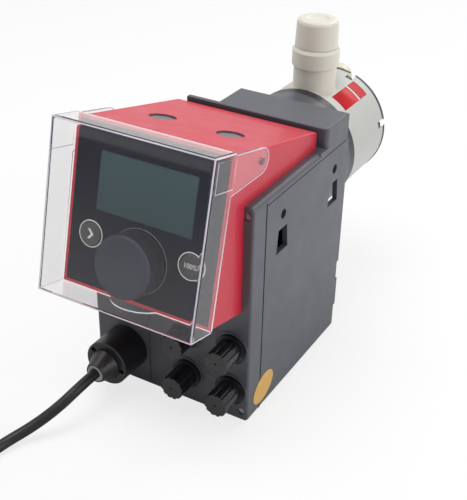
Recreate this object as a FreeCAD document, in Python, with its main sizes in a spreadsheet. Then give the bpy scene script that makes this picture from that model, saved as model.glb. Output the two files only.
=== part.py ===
import FreeCAD, Part
import math
import os
import Sketcher

# Diaphragm metering pump, modelled in millimetres.
# The origin is the middle of the housing's underside, the front faces -Y, and +Z is up.

SIZES = {
    # Housing, in two castings with a rear top cover
    "housing_width": 120.0,
    "housing_depth": 130.0,
    "housing_height": 160.0,
    "housing_wall": 3.5,
    "edge_round": 3.0,
    "front_cover_depth": 16.0,
    "corner_block": 9.0,
    "seam_groove": 0.7,
    "rear_cover_plate": 4.0,
    "rear_cover_reach": 42.0,
    "block_reach": 33.0,
    "block_height": 14.0,
    "block_left": 24.0,
    "fin_left": 48.0,
    "fin_depth": 3.5,
    "rear_lip_width": 4.0,
    "rear_lip_depth": 2.5,
    "rear_lip_low": 19.0,
    "rear_lip_mid_low": 42.0,
    "rear_lip_mid_high": 57.0,
    "window_inner": 46.5,
    "window_width": 9.0,
    "window_low": 98.0,
    "window_tall": 30.0,
    # Keyholes in both sides
    "side_hole_radius": 3.3,
    "side_hole_height": 139.6,
    "side_slot_low": 113.4,
    "side_slot_high": 130.0,
    "side_slot_top_width": 11.3,
    "side_slot_base_width": 15.1,
    "side_hole_front": 38.3,
    "side_hole_rear": 112.4,
    # Front screws
    "front_screw_inset": 5.0,
    "front_screw_head_radius": 2.6,
    "front_screw_head_tall": 2.2,
    "front_screw_shank_radius": 1.5,
    "front_screw_length": 26.0,
    "front_screw_recess": 3.4,
    # Signal sockets and their screw caps
    "socket_left": 13.8,
    "socket_pitch": 33.2,
    "socket_low": 22.8,
    "socket_ring_radius": 12.4,
    "socket_ring_width": 1.0,
    "socket_ring_proud": 0.8,
    "socket_flange_radius": 10.2,
    "socket_flange_depth": 2.4,
    "socket_barrel_radius": 5.9,
    "socket_inside": 7.5,
    "socket_thread_radius": 5.8,
    "socket_thread_length": 8.0,
    "cap_radius": 8.3,
    "cap_front": 20.0,
    "cap_flute_radius": 1.1,
    "cap_bore_clear": 0.15,
    "cap_bore_depth": 9.0,
    # Mains gland and lead
    "gland_side": 35.3,
    "gland_height": 26.4,
    "gland_radius": 16.0,
    "gland_length": 25.0,
    "gland_spigot_radius": 7.9,
    "gland_spigot_length": 7.0,
    "gland_hole_radius": 1.8,
    "gland_hole_circle": 12.8,
    "gland_hole_depth": 4.0,
    "nut_base_radius": 11.0,
    "nut_tip_radius": 6.9,
    "nut_length": 12.0,
    "seal_radius": 5.9,
    "seal_length": 7.0,
    "seal_recess": 1.5,
    "lead_diameter": 7.2,
    "lead_hole_clear": 0.2,
    "coil_middle_radius": 36.0,
    "coil_layers": 3,
    "coil_lanes": 3,
    "plug_radius": 18.5,
    "plug_body_length": 36.0,
    "plug_relief_length": 34.0,
    "plug_relief_radius": 4.6,
    "plug_pin_radius": 2.4,
    "plug_pin_length": 19.0,
    "plug_pin_pitch": 19.0,
    # Control cube, tilted back over the housing's front top edge
    "display_tilt": 13.6,
    "face_overhang": 38.5,
    "face_bottom": 95.2,
    "cube_width": 107.0,
    "face_height": 105.5,
    "cube_wall": 2.5,
    "cube_back": 93.75,
    "frame_depth": 10.0,
    "frame_lip": 2.0,
    "frame_rim": 3.5,
    "panel_thickness": 2.0,
    "panel_clear": 0.1,
    "plug_recess_radius": 8.9,
    "plug_recess_depth": 3.2,
    "plug_cover_thickness": 2.2,
    "plug_side": 24.5,
    "plug_back": 47.4,
    "lcd_width": 68.5,
    "lcd_tall": 37.3,
    "lcd_middle": 70.3,
    "lcd_sunk": 0.4,
    "button_side": 36.0,
    "button_up": 35.5,
    "button_radius": 7.5,
    "button_proud": 0.6,
    "button_flange": 1.1,
    "button_travel": 0.8,
    "button_gap": 0.35,
    "switch_tall": 3.5,
    "switch_side": 6.0,
    "board_thickness": 1.6,
    "board_edge_clear": 1.0,
    "wheel_up": 28.0,
    "wheel_radius": 20.0,
    "wheel_front": 17.3,
    "wheel_back": 1.8,
    "wheel_wall": 3.0,
    "wheel_travel": 1.0,
    "spindle_radius": 3.0,
    "running_fit": 0.05,
    "plunger_radius": 5.0,
    "encoder_radius": 7.5,
    "encoder_length": 6.0,
    # Hinged clear lid
    "lid_width": 111.2,
    "lid_wall": 1.6,
    "lid_front_wall": 2.0,
    "lid_depth": 23.0,
    "lid_gap": 0.4,
    "lid_drop": 1.2,
    "lid_top_clear": 0.8,
    "lid_band_low": 87.0,
    "lid_band_proud": 0.5,
    "lid_notch_reach": 10.5,
    "lid_notch_radius": 19.0,
    "pivot_back": 16.0,
    "pivot_height": 183.3,
    "ear_radius": 8.0,
    "ear_low": 82.7,
    "hinge_pin_radius": 2.2,
    "hinge_pin_fit": 0.1,
    "hinge_pin_seat": 8.0,
    # Dosing head, carried on the housing's neck
    "head_height": 115.0,
    "neck_radius": 45.0,
    "neck_bore": 33.0,
    "neck_length": 45.0,
    "flange_thickness": 8.0,
    "flange_bore": 31.0,
    "head_radius": 44.0,
    "head_length": 57.0,
    "cover_thickness": 2.0,
    "cover_radius": 44.4,
    "diaphragm_radius": 38.0,
    "diaphragm_thickness": 2.0,
    "chamber_radius": 27.0,
    "chamber_depth": 5.0,
    "head_screw_circle": 40.4,
    "head_screw_start": 11.0,
    "head_screw_radius": 2.2,
    "head_screw_head_radius": 3.6,
    "head_screw_head_tall": 4.0,
    "head_screw_bore_radius": 4.5,
    "head_screw_sunk": 9.0,
    "head_screw_bite": 10.0,
    # Valves
    "valve_back": 17.0,
    "valve_boss_radius": 16.1,
    "valve_boss_reach": 59.5,
    "valve_seat_depth": 34.5,
    "cartridge_radius": 10.0,
    "cartridge_flange_radius": 14.0,
    "cartridge_flange_tall": 3.5,
    "thread_radius": 11.0,
    "thread_tall": 17.0,
    "valve_bore": 3.0,
    "ball_radius": 4.0,
    "ball_cage_radius": 5.2,
    "ball_cage_low": 10.0,
    "ball_cage_tall": 12.0,
    "ball_rest_gap": 0.1,
    "union_radius": 17.7,
    "union_tall": 14.5,
    "union_clear": 0.2,
    "valve_cap_base_radius": 16.1,
    "valve_cap_top_radius": 15.3,
    "valve_cap_tall": 21.0,
    "valve_cap_dish_radius": 9.3,
    "valve_cap_dish": 1.6,
    "valve_cap_round": 2.4,
    # Deaeration knob and hose nozzle on the head's cover
    "vent_up": 36.0,
    "vent_radius": 9.5,
    "vent_length": 14.0,
    "vent_stem_radius": 3.0,
    "vent_stem_length": 8.0,
    "vent_gap": 0.5,
    "nozzle_side": 24.0,
    "nozzle_up": 22.0,
    "nozzle_length": 14.0,
    "nozzle_radius": 3.2,
    "nozzle_flange_radius": 5.5,
    "nozzle_bore": 1.6,
    # Drive
    "drive_back": 85.0,
    "frame_plate": 4.0,
    "frame_gap": 48.0,
    "frame_back_width": 92.0,
    "frame_low": 62.0,
    "frame_high": 142.0,
    "frame_front": 63.0,
    "shaft_radius": 4.0,
    "shaft_overhang": 0.5,
    "bearing_radius": 8.0,
    "journal_radius": 6.0,
    "journal_length": 12.0,
    "eccentric_throw": 1.5,
    "eccentric_ring_radius": 9.0,
    "yoke_thickness": 10.0,
    "yoke_bar": 5.0,
    "yoke_clear": 0.3,
    "rod_radius": 6.0,
    "bush_radius": 10.0,
    "bush_length": 20.0,
    "support_disc_radius": 16.0,
    "support_disc_thickness": 5.0,
    "gear_module": 1.0,
    "gear_teeth": 45,
    "pinion_teeth": 15,
    "gear_width": 8.0,
    "gear_inset": 2.0,
    "tooth_backlash": 0.5,
    "motor_side": 42.0,
    "motor_length": 28.0,
    "motor_corner": 5.0,
    "motor_pilot_radius": 11.0,
    "motor_pilot_length": 2.0,
    "motor_shaft_radius": 2.5,
    "motor_shaft_sunk": 5.0,
    "motor_shaft_clear": 0.3,
    # Power board on the housing's floor
    "power_board_width": 96.0,
    "power_board_depth": 88.0,
    "power_board_height": 14.0,
    "board_post_radius": 4.0,
    "board_post_side": 42.0,
    "board_post_front": 30.0,
    "board_post_back": 36.0,
    "transformer_side": 34.0,
    "transformer_tall": 26.0,
}

doc = FreeCAD.newDocument("metering_pump")
sheet = doc.addObject("Spreadsheet::Sheet", "Sizes")
for row, (alias, amount) in enumerate(SIZES.items(), start=1):
    sheet.set(f"A{row}", alias)
    sheet.set(f"B{row}", str(amount))
    sheet.setAlias(f"B{row}", alias)
doc.recompute()


class Amount:
    """A number that keeps the expression of sheet cells that it comes from."""

    def __init__(self, text, number):
        self.text = text
        self.number = number

    def __neg__(self):
        return Amount(f"(-{self.text})", -self.number)

    def __add__(self, other):
        other = amount(other)
        return Amount(f"({self.text} + {other.text})", self.number + other.number)

    def __radd__(self, other):
        return amount(other) + self

    def __sub__(self, other):
        other = amount(other)
        return Amount(f"({self.text} - {other.text})", self.number - other.number)

    def __rsub__(self, other):
        return amount(other) - self

    def __mul__(self, other):
        other = amount(other)
        return Amount(f"({self.text} * {other.text})", self.number * other.number)

    def __rmul__(self, other):
        return amount(other) * self

    def __truediv__(self, other):
        other = amount(other)
        return Amount(f"({self.text} / {other.text})", self.number / other.number)


def amount(value):
    return value if isinstance(value, Amount) else Amount(repr(float(value)), float(value))


def sine(angle):
    return Amount(f"sin({angle.text})", math.sin(math.radians(angle.number)))


def cosine(angle):
    return Amount(f"cos({angle.text})", math.cos(math.radians(angle.number)))


class Cells:
    """Every alias of the sheet as an amount, such as s.housing_width."""

    def __getattr__(self, alias):
        return Amount(f"Sizes.{alias}", float(sheet.get(alias)))


s = Cells()
nodes = {}

# Places that several pieces share
half_width = s.housing_width / 2
front_y = -s.housing_depth / 2
back_y = s.housing_depth / 2
split_y = front_y + s.front_cover_depth
roof_z = s.housing_height
ledge_z = roof_z - s.rear_cover_plate
ceiling_z = ledge_z - s.housing_wall
neck_end_y = back_y + s.neck_length
head_front_y = neck_end_y + s.flange_thickness
head_back_y = head_front_y + s.head_length
cover_back_y = head_back_y + s.cover_thickness
valve_y = head_front_y + s.valve_back
face_y = front_y - s.face_overhang
drive_y = front_y + s.drive_back
pitch_gear = s.gear_module * s.gear_teeth / 2
pitch_pinion = s.gear_module * s.pinion_teeth / 2
motor_z = s.head_height - pitch_gear - pitch_pinion
lead_radius = s.lead_diameter / 2

NORMAL = {"XY_Plane": 1, "YZ_Plane": 1, "XZ_Plane": -1}
NO_TURN = FreeCAD.Rotation()
ALONG_X = FreeCAD.Rotation(FreeCAD.Vector(0, 1, 0), 90)
ALONG_Y = FreeCAD.Rotation(FreeCAD.Vector(1, 0, 0), -90)
AGAINST_Y = FreeCAD.Rotation(FreeCAD.Vector(1, 0, 0), 90)


def bind(item, path, value):
    item.setExpression(path, amount(value).text)


def new_body(name):
    body = doc.addObject("PartDesign::Body", name)
    body.Label = name
    nodes[name] = body
    return body


def place(item, x=0, y=0, z=0, turn=NO_TURN):
    item.Placement = FreeCAD.Placement(FreeCAD.Vector(0, 0, 0), turn)
    for axis, value in (("x", x), ("y", y), ("z", z)):
        bind(item, f"Placement.Base.{axis}", value)


def place_on_display(item, x=0, up=0):
    """Local X runs across the display, local Z up along it and local +Y back into the cube."""
    lean = FreeCAD.Rotation(FreeCAD.Vector(1, 0, 0), -s.display_tilt.number)
    up = amount(up)
    y = face_y + up * sine(s.display_tilt)
    z = s.face_bottom + up * cosine(s.display_tilt)
    place(item, x, y, z, lean)
    bind(item, "Placement.Rotation.Angle", -s.display_tilt)


def new_sketch(body, plane, at=0):
    sketch = body.newObject("Sketcher::SketchObject", f"{body.Name}_sketch")
    origin_plane = [item for item in body.Origin.OriginFeatures if item.Role == plane][0]
    sketch.AttachmentSupport = [(origin_plane, "")]
    sketch.MapMode = "FlatFace"
    bind(sketch, "AttachmentOffset.Base.z", amount(at) * NORMAL[plane])
    return sketch


def pin_point(sketch, geometry, point, x, y):
    for kind, value in (("DistanceX", amount(x)), ("DistanceY", amount(y))):
        index = sketch.addConstraint(Sketcher.Constraint(kind, -1, 1, geometry, point, value.number))
        bind(sketch, f"Constraints[{index}]", value)


def draw_outline(sketch, points):
    first = sketch.GeometryCount
    count = len(points)
    spots = [FreeCAD.Vector(amount(x).number, amount(y).number, 0) for x, y in points]
    for index in range(count):
        sketch.addGeometry(Part.LineSegment(spots[index], spots[(index + 1) % count]))
    for index in range(count):
        following = first + (index + 1) % count
        sketch.addConstraint(Sketcher.Constraint("Coincident", first + index, 2, following, 1))
    for index, (x, y) in enumerate(points):
        pin_point(sketch, first + index, 1, x, y)


def draw_box(sketch, left, low, right, high):
    draw_outline(sketch, [(left, low), (right, low), (right, high), (left, high)])


def draw_circle(sketch, x, y, radius):
    centre = FreeCAD.Vector(amount(x).number, amount(y).number, 0)
    circle = sketch.addGeometry(Part.Circle(centre, FreeCAD.Vector(0, 0, 1), amount(radius).number))
    pin_point(sketch, circle, 3, x, y)
    index = sketch.addConstraint(Sketcher.Constraint("Radius", circle, amount(radius).number))
    bind(sketch, f"Constraints[{index}]", radius)


def pad(sketch, length, toward=1):
    """Add material from the sketch, along its plane's world axis where toward is 1."""
    feature = sketch.getParentGeoFeatureGroup().newObject("PartDesign::Pad", "Pad")
    feature.Profile = sketch
    plane = sketch.AttachmentSupport[0][0].Role
    feature.Reversed = NORMAL[plane] * toward < 0
    bind(feature, "Length", length)
    return feature


def pocket(sketch, depth, toward):
    feature = sketch.getParentGeoFeatureGroup().newObject("PartDesign::Pocket", "Pocket")
    feature.Profile = sketch
    plane = sketch.AttachmentSupport[0][0].Role
    feature.Reversed = NORMAL[plane] * toward > 0
    bind(feature, "Length", depth)
    return feature


def turned(name, axis, outline):
    """A body turned about its own axis. The outline's points are (radius, place along the axis)."""
    body = new_body(name)
    sketch = new_sketch(body, "XZ_Plane" if axis == "Z" else "XY_Plane")
    if axis == "X":
        outline = [(along, radius) for radius, along in outline]
    draw_outline(sketch, outline)
    feature = body.newObject("PartDesign::Revolution", "Revolution")
    feature.Profile = sketch
    feature.ReferenceAxis = (sketch, ["H_Axis" if axis == "X" else "V_Axis"])
    feature.Angle = 360
    return body


def round_edges(body, radius, chosen):
    doc.recompute()
    base = body.Tip
    names = [f"Edge{index}" for index, edge in enumerate(base.Shape.Edges, start=1) if chosen(edge)]
    feature = body.newObject("PartDesign::Fillet", "Fillet")
    feature.Base = (base, names)
    bind(feature, "Radius", radius)
    body.Tip = feature
    return feature


def runs_along(edge, axis):
    if edge.Curve.TypeId != "Part::GeomLine":
        return False
    return abs(getattr(edge.Curve.Direction, axis)) > 0.999


def lies_at(edge, axis, value):
    low = getattr(edge.BoundBox, f"{axis.upper()}Min")
    high = getattr(edge.BoundBox, f"{axis.upper()}Max")
    return abs(low - value.number) < 0.01 and abs(high - value.number) < 0.01


def cylinder(name, radius, height):
    item = doc.addObject("Part::Cylinder", name)
    bind(item, "Radius", radius)
    bind(item, "Height", height)
    return item


def group(name, members):
    compound = doc.addObject("Part::Compound", name)
    compound.Label = name
    compound.Links = members
    nodes[name] = compound
    return compound


def ring_places(count, circle, start):
    """Points evenly spaced round a circle about the head's axis, as (x, height above the axis)."""
    step = 360.0 / count
    return [(circle * cosine(start + step * turn), circle * sine(start + step * turn)) for turn in range(count)]


def head_screw_places():
    return ring_places(6, s.head_screw_circle, s.head_screw_start)


def draw_housing_inside(sketch):
    """The hollow, a rectangle whose four corners are filled for the screws."""
    side = half_width - s.housing_wall
    low = s.housing_wall
    block = s.corner_block
    draw_outline(sketch, [
        (-side + block, low), (side - block, low), (side - block, low + block), (side, low + block),
        (side, ceiling_z - block), (side - block, ceiling_z - block), (side - block, ceiling_z),
        (-side + block, ceiling_z), (-side + block, ceiling_z - block), (-side, ceiling_z - block),
        (-side, low + block), (-side + block, low + block)])


def front_screw_places():
    side = half_width - s.front_screw_inset
    return [(x, z) for x in (-side, side) for z in (s.front_screw_inset + 2, ceiling_z + 1)]


def socket_places():
    return [(s.socket_left + s.socket_pitch * column, s.socket_low + s.socket_pitch * tier)
            for column in (0, 1) for tier in (0, 1)]


def make_front_cover():
    body = new_body("front_cover")
    sketch = new_sketch(body, "XZ_Plane", split_y)
    draw_box(sketch, -half_width, 0, half_width, roof_z)
    pad(sketch, s.front_cover_depth, -1)
    round_edges(body, s.edge_round, lambda edge: runs_along(edge, "y"))
    round_edges(body, s.edge_round / 2, lambda edge: lies_at(edge, "y", front_y))
    sketch = new_sketch(body, "XZ_Plane", split_y)
    draw_housing_inside(sketch)
    pocket(sketch, s.front_cover_depth - s.housing_wall, -1)
    sketch = new_sketch(body, "XZ_Plane", front_y)
    for x, z in socket_places():
        draw_circle(sketch, x, z, s.socket_ring_radius)
        draw_circle(sketch, x, z, s.socket_ring_radius - s.socket_ring_width)
    pad(sketch, s.socket_ring_proud, -1)
    sketch = new_sketch(body, "XZ_Plane", front_y - 1)
    draw_circle(sketch, -s.gland_side, s.gland_height, s.gland_spigot_radius)
    for x, z in socket_places():
        draw_circle(sketch, x, z, s.socket_barrel_radius)
    for x, z in front_screw_places():
        draw_circle(sketch, x, z, s.front_screw_shank_radius)
    pocket(sketch, s.front_cover_depth + 2, 1)
    sketch = new_sketch(body, "XZ_Plane", front_y - 1)
    for x, z in front_screw_places():
        draw_circle(sketch, x, z, s.front_screw_head_radius + s.panel_clear)
    pocket(sketch, s.front_screw_recess + 1, 1)
    sketch = new_sketch(body, "XZ_Plane", front_y - 1)
    groove_x = -s.gland_side + s.gland_radius + s.socket_flange_depth
    draw_box(sketch, groove_x, s.housing_wall, groove_x + s.seam_groove, s.face_bottom - s.corner_block)
    pocket(sketch, s.seam_groove + 1, 1)


def draw_side_slot(sketch, y):
    top = s.side_slot_top_width / 2
    base = s.side_slot_base_width / 2
    draw_outline(sketch, [(y - base, s.side_slot_low), (y + base, s.side_slot_low),
                          (y + top, s.side_slot_high), (y - top, s.side_slot_high)])


def make_main_housing():
    body = new_body("main_housing")
    depth = s.housing_depth - s.front_cover_depth
    sketch = new_sketch(body, "XZ_Plane", split_y)
    draw_box(sketch, -half_width, 0, half_width, roof_z)
    pad(sketch, depth)
    round_edges(body, s.edge_round, lambda edge: runs_along(edge, "y"))
    sketch = new_sketch(body, "XZ_Plane", back_y)
    draw_circle(sketch, 0, s.head_height, s.neck_radius)
    pad(sketch, s.neck_length)
    sketch = new_sketch(body, "XZ_Plane", back_y - 1)
    for side in (-1, 1):
        edge = half_width * side
        inner = (half_width - s.rear_lip_width) * side
        draw_box(sketch, inner, s.rear_lip_low, edge, s.rear_lip_mid_low)
        draw_box(sketch, inner, s.rear_lip_mid_high, edge, ledge_z - 1)
    pad(sketch, s.rear_lip_depth + 1)
    sketch = new_sketch(body, "XZ_Plane", split_y)
    draw_housing_inside(sketch)
    pocket(sketch, depth - s.housing_wall, 1)
    sketch = new_sketch(body, "XZ_Plane", neck_end_y + 1)
    draw_circle(sketch, 0, s.head_height, s.neck_bore)
    pocket(sketch, s.neck_length + s.housing_wall + 2, -1)
    sketch = new_sketch(body, "XZ_Plane", neck_end_y + 1)
    for x, up in head_screw_places():
        draw_circle(sketch, x, s.head_height + up, s.head_screw_radius)
    pocket(sketch, s.head_screw_bite + 1, -1)
    sketch = new_sketch(body, "XY_Plane", roof_z + 1)
    draw_box(sketch, -half_width - 1, back_y - s.rear_cover_reach, half_width + 1, back_y + s.rear_lip_depth + 1)
    pocket(sketch, s.rear_cover_plate + 1, -1)
    sketch = new_sketch(body, "YZ_Plane", half_width + 1)
    for place_y in (front_y + s.side_hole_front, front_y + s.side_hole_rear):
        draw_circle(sketch, place_y, s.side_hole_height, s.side_hole_radius)
        draw_side_slot(sketch, place_y)
    pocket(sketch, s.housing_width + 2, -1)
    sketch = new_sketch(body, "XZ_Plane", back_y + 1)
    for side in (-1, 1):
        inner = s.window_inner * side
        outer = (s.window_inner + s.window_width) * side
        draw_box(sketch, inner, s.window_low, outer, s.window_low + s.window_tall)
    pocket(sketch, s.housing_wall + 2, -1)
    sketch = new_sketch(body, "XZ_Plane", split_y - 1)
    groove_high = ledge_z - s.seam_groove
    for side in (-1, 1):
        edge = (half_width + 1) * side
        inner = (half_width - s.seam_groove) * side
        draw_box(sketch, inner, groove_high - s.seam_groove, edge, groove_high)
    pocket(sketch, depth + s.rear_lip_depth + 2, 1)
    sketch = new_sketch(body, "XZ_Plane", split_y - 1)
    for x, z in front_screw_places():
        draw_circle(sketch, x, z, s.front_screw_shank_radius)
    pocket(sketch, s.front_screw_length - s.front_cover_depth + 1, 1)
    sketch = new_sketch(body, "XY_Plane", s.housing_wall / 2)
    for x in (-s.board_post_side, s.board_post_side):
        for y in (-s.board_post_front, s.board_post_back):
            draw_circle(sketch, x, y, s.board_post_radius)
    pad(sketch, s.power_board_height - s.housing_wall / 2)


def make_rear_top_cover():
    body = new_body("rear_top_cover")
    near_y = back_y - s.rear_cover_reach
    block_y = back_y - s.block_reach
    fin_y = block_y + s.fin_depth
    sketch = new_sketch(body, "XY_Plane", ledge_z)
    draw_outline(sketch, [(-half_width, near_y), (half_width, near_y), (half_width, back_y),
                          (-s.block_left, back_y), (-s.block_left, fin_y), (-half_width, fin_y)])
    pad(sketch, s.rear_cover_plate)
    sketch = new_sketch(body, "XY_Plane", ledge_z)
    draw_outline(sketch, [(-s.fin_left, block_y), (half_width, block_y), (half_width, back_y),
                          (-s.block_left, back_y), (-s.block_left, fin_y), (-s.fin_left, fin_y)])
    pad(sketch, s.rear_cover_plate + s.block_height)
    top_z = roof_z + s.block_height
    round_edges(body, s.edge_round, lambda edge: runs_along(edge, "z") and lies_at(edge, "x", half_width)
                and lies_at(edge, "y", block_y))
    round_edges(body, s.edge_round / 3, lambda edge: lies_at(edge, "z", top_z))


def make_front_screws():
    members = []
    for number, (x, z) in enumerate(front_screw_places(), start=1):
        head_y = front_y + s.front_screw_recess
        head = cylinder(f"front_screw_head_{number}", s.front_screw_head_radius, s.front_screw_head_tall)
        place(head, x, head_y, z, AGAINST_Y)
        shank = cylinder(f"front_screw_shank_{number}", s.front_screw_shank_radius,
                         s.front_screw_length - s.front_screw_recess)
        place(shank, x, head_y, z, ALONG_Y)
        screw = doc.addObject("Part::Fuse", f"front_screw_{number}")
        screw.Base = head
        screw.Tool = shank
        members.append(screw)
    group("front_screws", members)


def make_sockets():
    caps = []
    for number, (x, z) in enumerate(socket_places(), start=1):
        flange_y = -s.socket_flange_depth
        socket = turned(f"signal_socket_{number}", "Y", [
            (0, s.socket_inside), (s.socket_barrel_radius, s.socket_inside), (s.socket_barrel_radius, 0),
            (s.socket_flange_radius, 0), (s.socket_flange_radius, flange_y),
            (s.socket_thread_radius, flange_y), (s.socket_thread_radius, flange_y - s.socket_thread_length),
            (0, flange_y - s.socket_thread_length)])
        place(socket, x, front_y, z)
        cap = doc.addObject("PartDesign::Body", f"socket_cap_{number}")
        sketch = new_sketch(cap, "XZ_Plane", flange_y)
        draw_circle(sketch, 0, 0, s.cap_radius)
        pad(sketch, s.cap_front - s.socket_flange_depth, -1)
        sketch = new_sketch(cap, "XZ_Plane", flange_y)
        draw_circle(sketch, 0, 0, s.socket_thread_radius + s.cap_bore_clear)
        pocket(sketch, s.cap_bore_depth, -1)
        sketch = new_sketch(cap, "XZ_Plane", flange_y - s.cap_flute_radius * 2)
        draw_circle(sketch, s.cap_radius + s.cap_flute_radius / 3, 0, s.cap_flute_radius)
        flute = pocket(sketch, s.cap_front, -1)
        flutes = cap.newObject("PartDesign::PolarPattern", "Flutes")
        flutes.Originals = [flute]
        flutes.Axis = (sketch, ["N_Axis"])
        flutes.Angle = 360
        flutes.Occurrences = 12
        cap.Tip = flutes
        place(cap, x, front_y, z)
        caps.append(cap)
    group("socket_caps", caps)


def make_gland():
    tip_y = -s.gland_length - s.nut_length
    body = turned("gland_body", "Y", [
        (0, s.gland_spigot_length), (s.gland_spigot_radius, s.gland_spigot_length), (s.gland_spigot_radius, 0),
        (s.gland_radius, 0), (s.gland_radius, -s.gland_length + 0.8), (s.gland_radius - 0.8, -s.gland_length),
        (0, -s.gland_length)])
    sketch = new_sketch(body, "XZ_Plane", -s.gland_length - 1)
    for angle in (140.0, -7.0, 246.5):
        direction = amount(angle)
        draw_circle(sketch, s.gland_hole_circle * cosine(direction), s.gland_hole_circle * sine(direction),
                    s.gland_hole_radius)
    pocket(sketch, s.gland_hole_depth + 1, 1)
    place(body, -s.gland_side, front_y, s.gland_height)
    nut = turned("gland_nut", "Y", [
        (s.nut_base_radius, -s.gland_length), (s.nut_base_radius, -s.gland_length - 1),
        (s.nut_tip_radius, tip_y), (s.seal_radius, tip_y), (s.seal_radius, tip_y + s.seal_length),
        (0, tip_y + s.seal_length), (0, -s.gland_length)])
    place(nut, -s.gland_side, front_y, s.gland_height)
    bore = lead_radius + s.lead_hole_clear
    seal = turned("gland_seal", "Y", [
        (0, tip_y + s.seal_length), (s.seal_radius, tip_y + s.seal_length), (s.seal_radius, tip_y),
        (bore, tip_y), (bore, tip_y + s.seal_recess), (0, tip_y + s.seal_recess)])
    place(seal, -s.gland_side, front_y, s.gland_height)


# The mains lead's way from the gland's seal to its coil, and from the coil to the plug
LEAD_ROUTE = [
    (-35.3, -100.5, 26.4), (-35.3, -116.5, 26.4), (-39.7, -134.0, 20.0), (-48.4, -149.3, 12.0),
    (-58.2, -166.2, 6.0), (-61.8, -185.8, 4.1), (-62.4, -206.0, 3.8)]
TAIL_ROUTE = [(-127.4, -231.7, 19.6), (-137.1, -212.2, 29.2), (-138.9, -188.2, 33.87)]
COIL_CENTRE = (-104.9, -198.2)
PLUG_LEAN = 13.0


def rounded_wire(points):
    """Straight runs joined by tangent arcs, each as large as its two runs allow."""
    spots = [FreeCAD.Vector(*point) for point in points]
    edges = []
    radii = []
    start = spots[0]
    for before, corner, after in zip(spots, spots[1:], spots[2:]):
        inward = (corner - before).normalize()
        outward = (after - corner).normalize()
        turn = inward.getAngle(outward)
        trim = 0.45 * min(corner.distanceToPoint(before), corner.distanceToPoint(after))
        radius = trim / math.tan(turn / 2)
        radii.append(radius)
        entry = corner - inward * trim
        leave = corner + outward * trim
        bisector = ((leave + entry) * 0.5 - corner).normalize()
        middle = corner + bisector * (radius / math.cos(turn / 2) - radius)
        edges.append(Part.LineSegment(start, entry).toShape())
        edges.append(Part.Arc(entry, middle, leave).toShape())
        start = leave
    edges.append(Part.LineSegment(start, spots[-1]).toShape())
    return Part.Wire(edges), radii


def lead_tube(points):
    wire, radii = rounded_wire(points)
    first = FreeCAD.Vector(*points[0])
    direction = FreeCAD.Vector(*points[1]) - first
    radius = lead_radius.number
    profile = Part.Wire([Part.Circle(first, direction, radius).toShape()])
    tube = wire.makePipeShell([profile], True, True)
    expected = math.pi * radius ** 2 * wire.Length
    print("lead length", round(wire.Length, 1), "radii", [round(value, 1) for value in radii],
          "volume share", round(tube.Volume / expected, 5))
    return tube


def make_lead():
    lead = doc.addObject("Part::Feature", "mains_lead")
    lead.Label = "mains_lead"
    lead.Shape = Part.makeCompound([lead_tube(LEAD_ROUTE), lead_tube(TAIL_ROUTE)])
    nodes["mains_lead"] = lead
    half_lanes = s.coil_lanes * lead_radius
    height = s.lead_diameter * s.coil_layers
    corner = lead_radius / 2
    inner = s.coil_middle_radius - half_lanes
    outer = s.coil_middle_radius + half_lanes
    coil = turned("lead_coil", "Z", [
        (inner + corner, 0.1), (outer - corner, 0.1), (outer, corner), (outer, height - corner),
        (outer - corner, height), (inner + corner, height), (inner, height - corner), (inner, corner)])
    place(coil, COIL_CENTRE[0], COIL_CENTRE[1], 0)
    tip_x, tip_y, tip_z = TAIL_ROUTE[-1]
    relief = s.plug_relief_length
    length = relief + s.plug_body_length
    plug = turned("plug_body", "Y", [
        (0, 0), (s.plug_relief_radius, 0), (s.plug_relief_radius + 2, relief * 0.85),
        (s.plug_radius * 0.6, relief), (s.plug_radius * 0.93, relief + 9), (s.plug_radius, relief + 20),
        (s.plug_radius, length), (0, length)])
    lean = FreeCAD.Rotation(FreeCAD.Vector(1, 0, 0), -PLUG_LEAN)
    place(plug, tip_x, tip_y, tip_z, lean)
    pins = []
    for side in (-1, 1):
        pin = cylinder(f"plug_pin_{side + 2}", s.plug_pin_radius, s.plug_pin_length)
        base_y = tip_y + length * cosine(amount(PLUG_LEAN))
        base_z = tip_z - length * sine(amount(PLUG_LEAN))
        place(pin, tip_x + s.plug_pin_pitch / 2 * side, base_y, base_z, lean * ALONG_Y)
        pins.append(pin)
    group("plug_pins", pins)


def to_display(y, z):
    """A point of the side view in the display's own frame, as (back from the display, up along it)."""
    lean = s.display_tilt
    ahead = amount(y) - face_y
    above = amount(z) - s.face_bottom
    return ahead * cosine(lean) - above * sine(lean), ahead * sine(lean) + above * cosine(lean)


def back_at(y, up):
    """How far behind the display an upright plane at y is, at a height up along the display."""
    lean = s.display_tilt
    return (amount(y) - face_y - amount(up) * sine(lean)) / cosine(lean)


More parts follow.
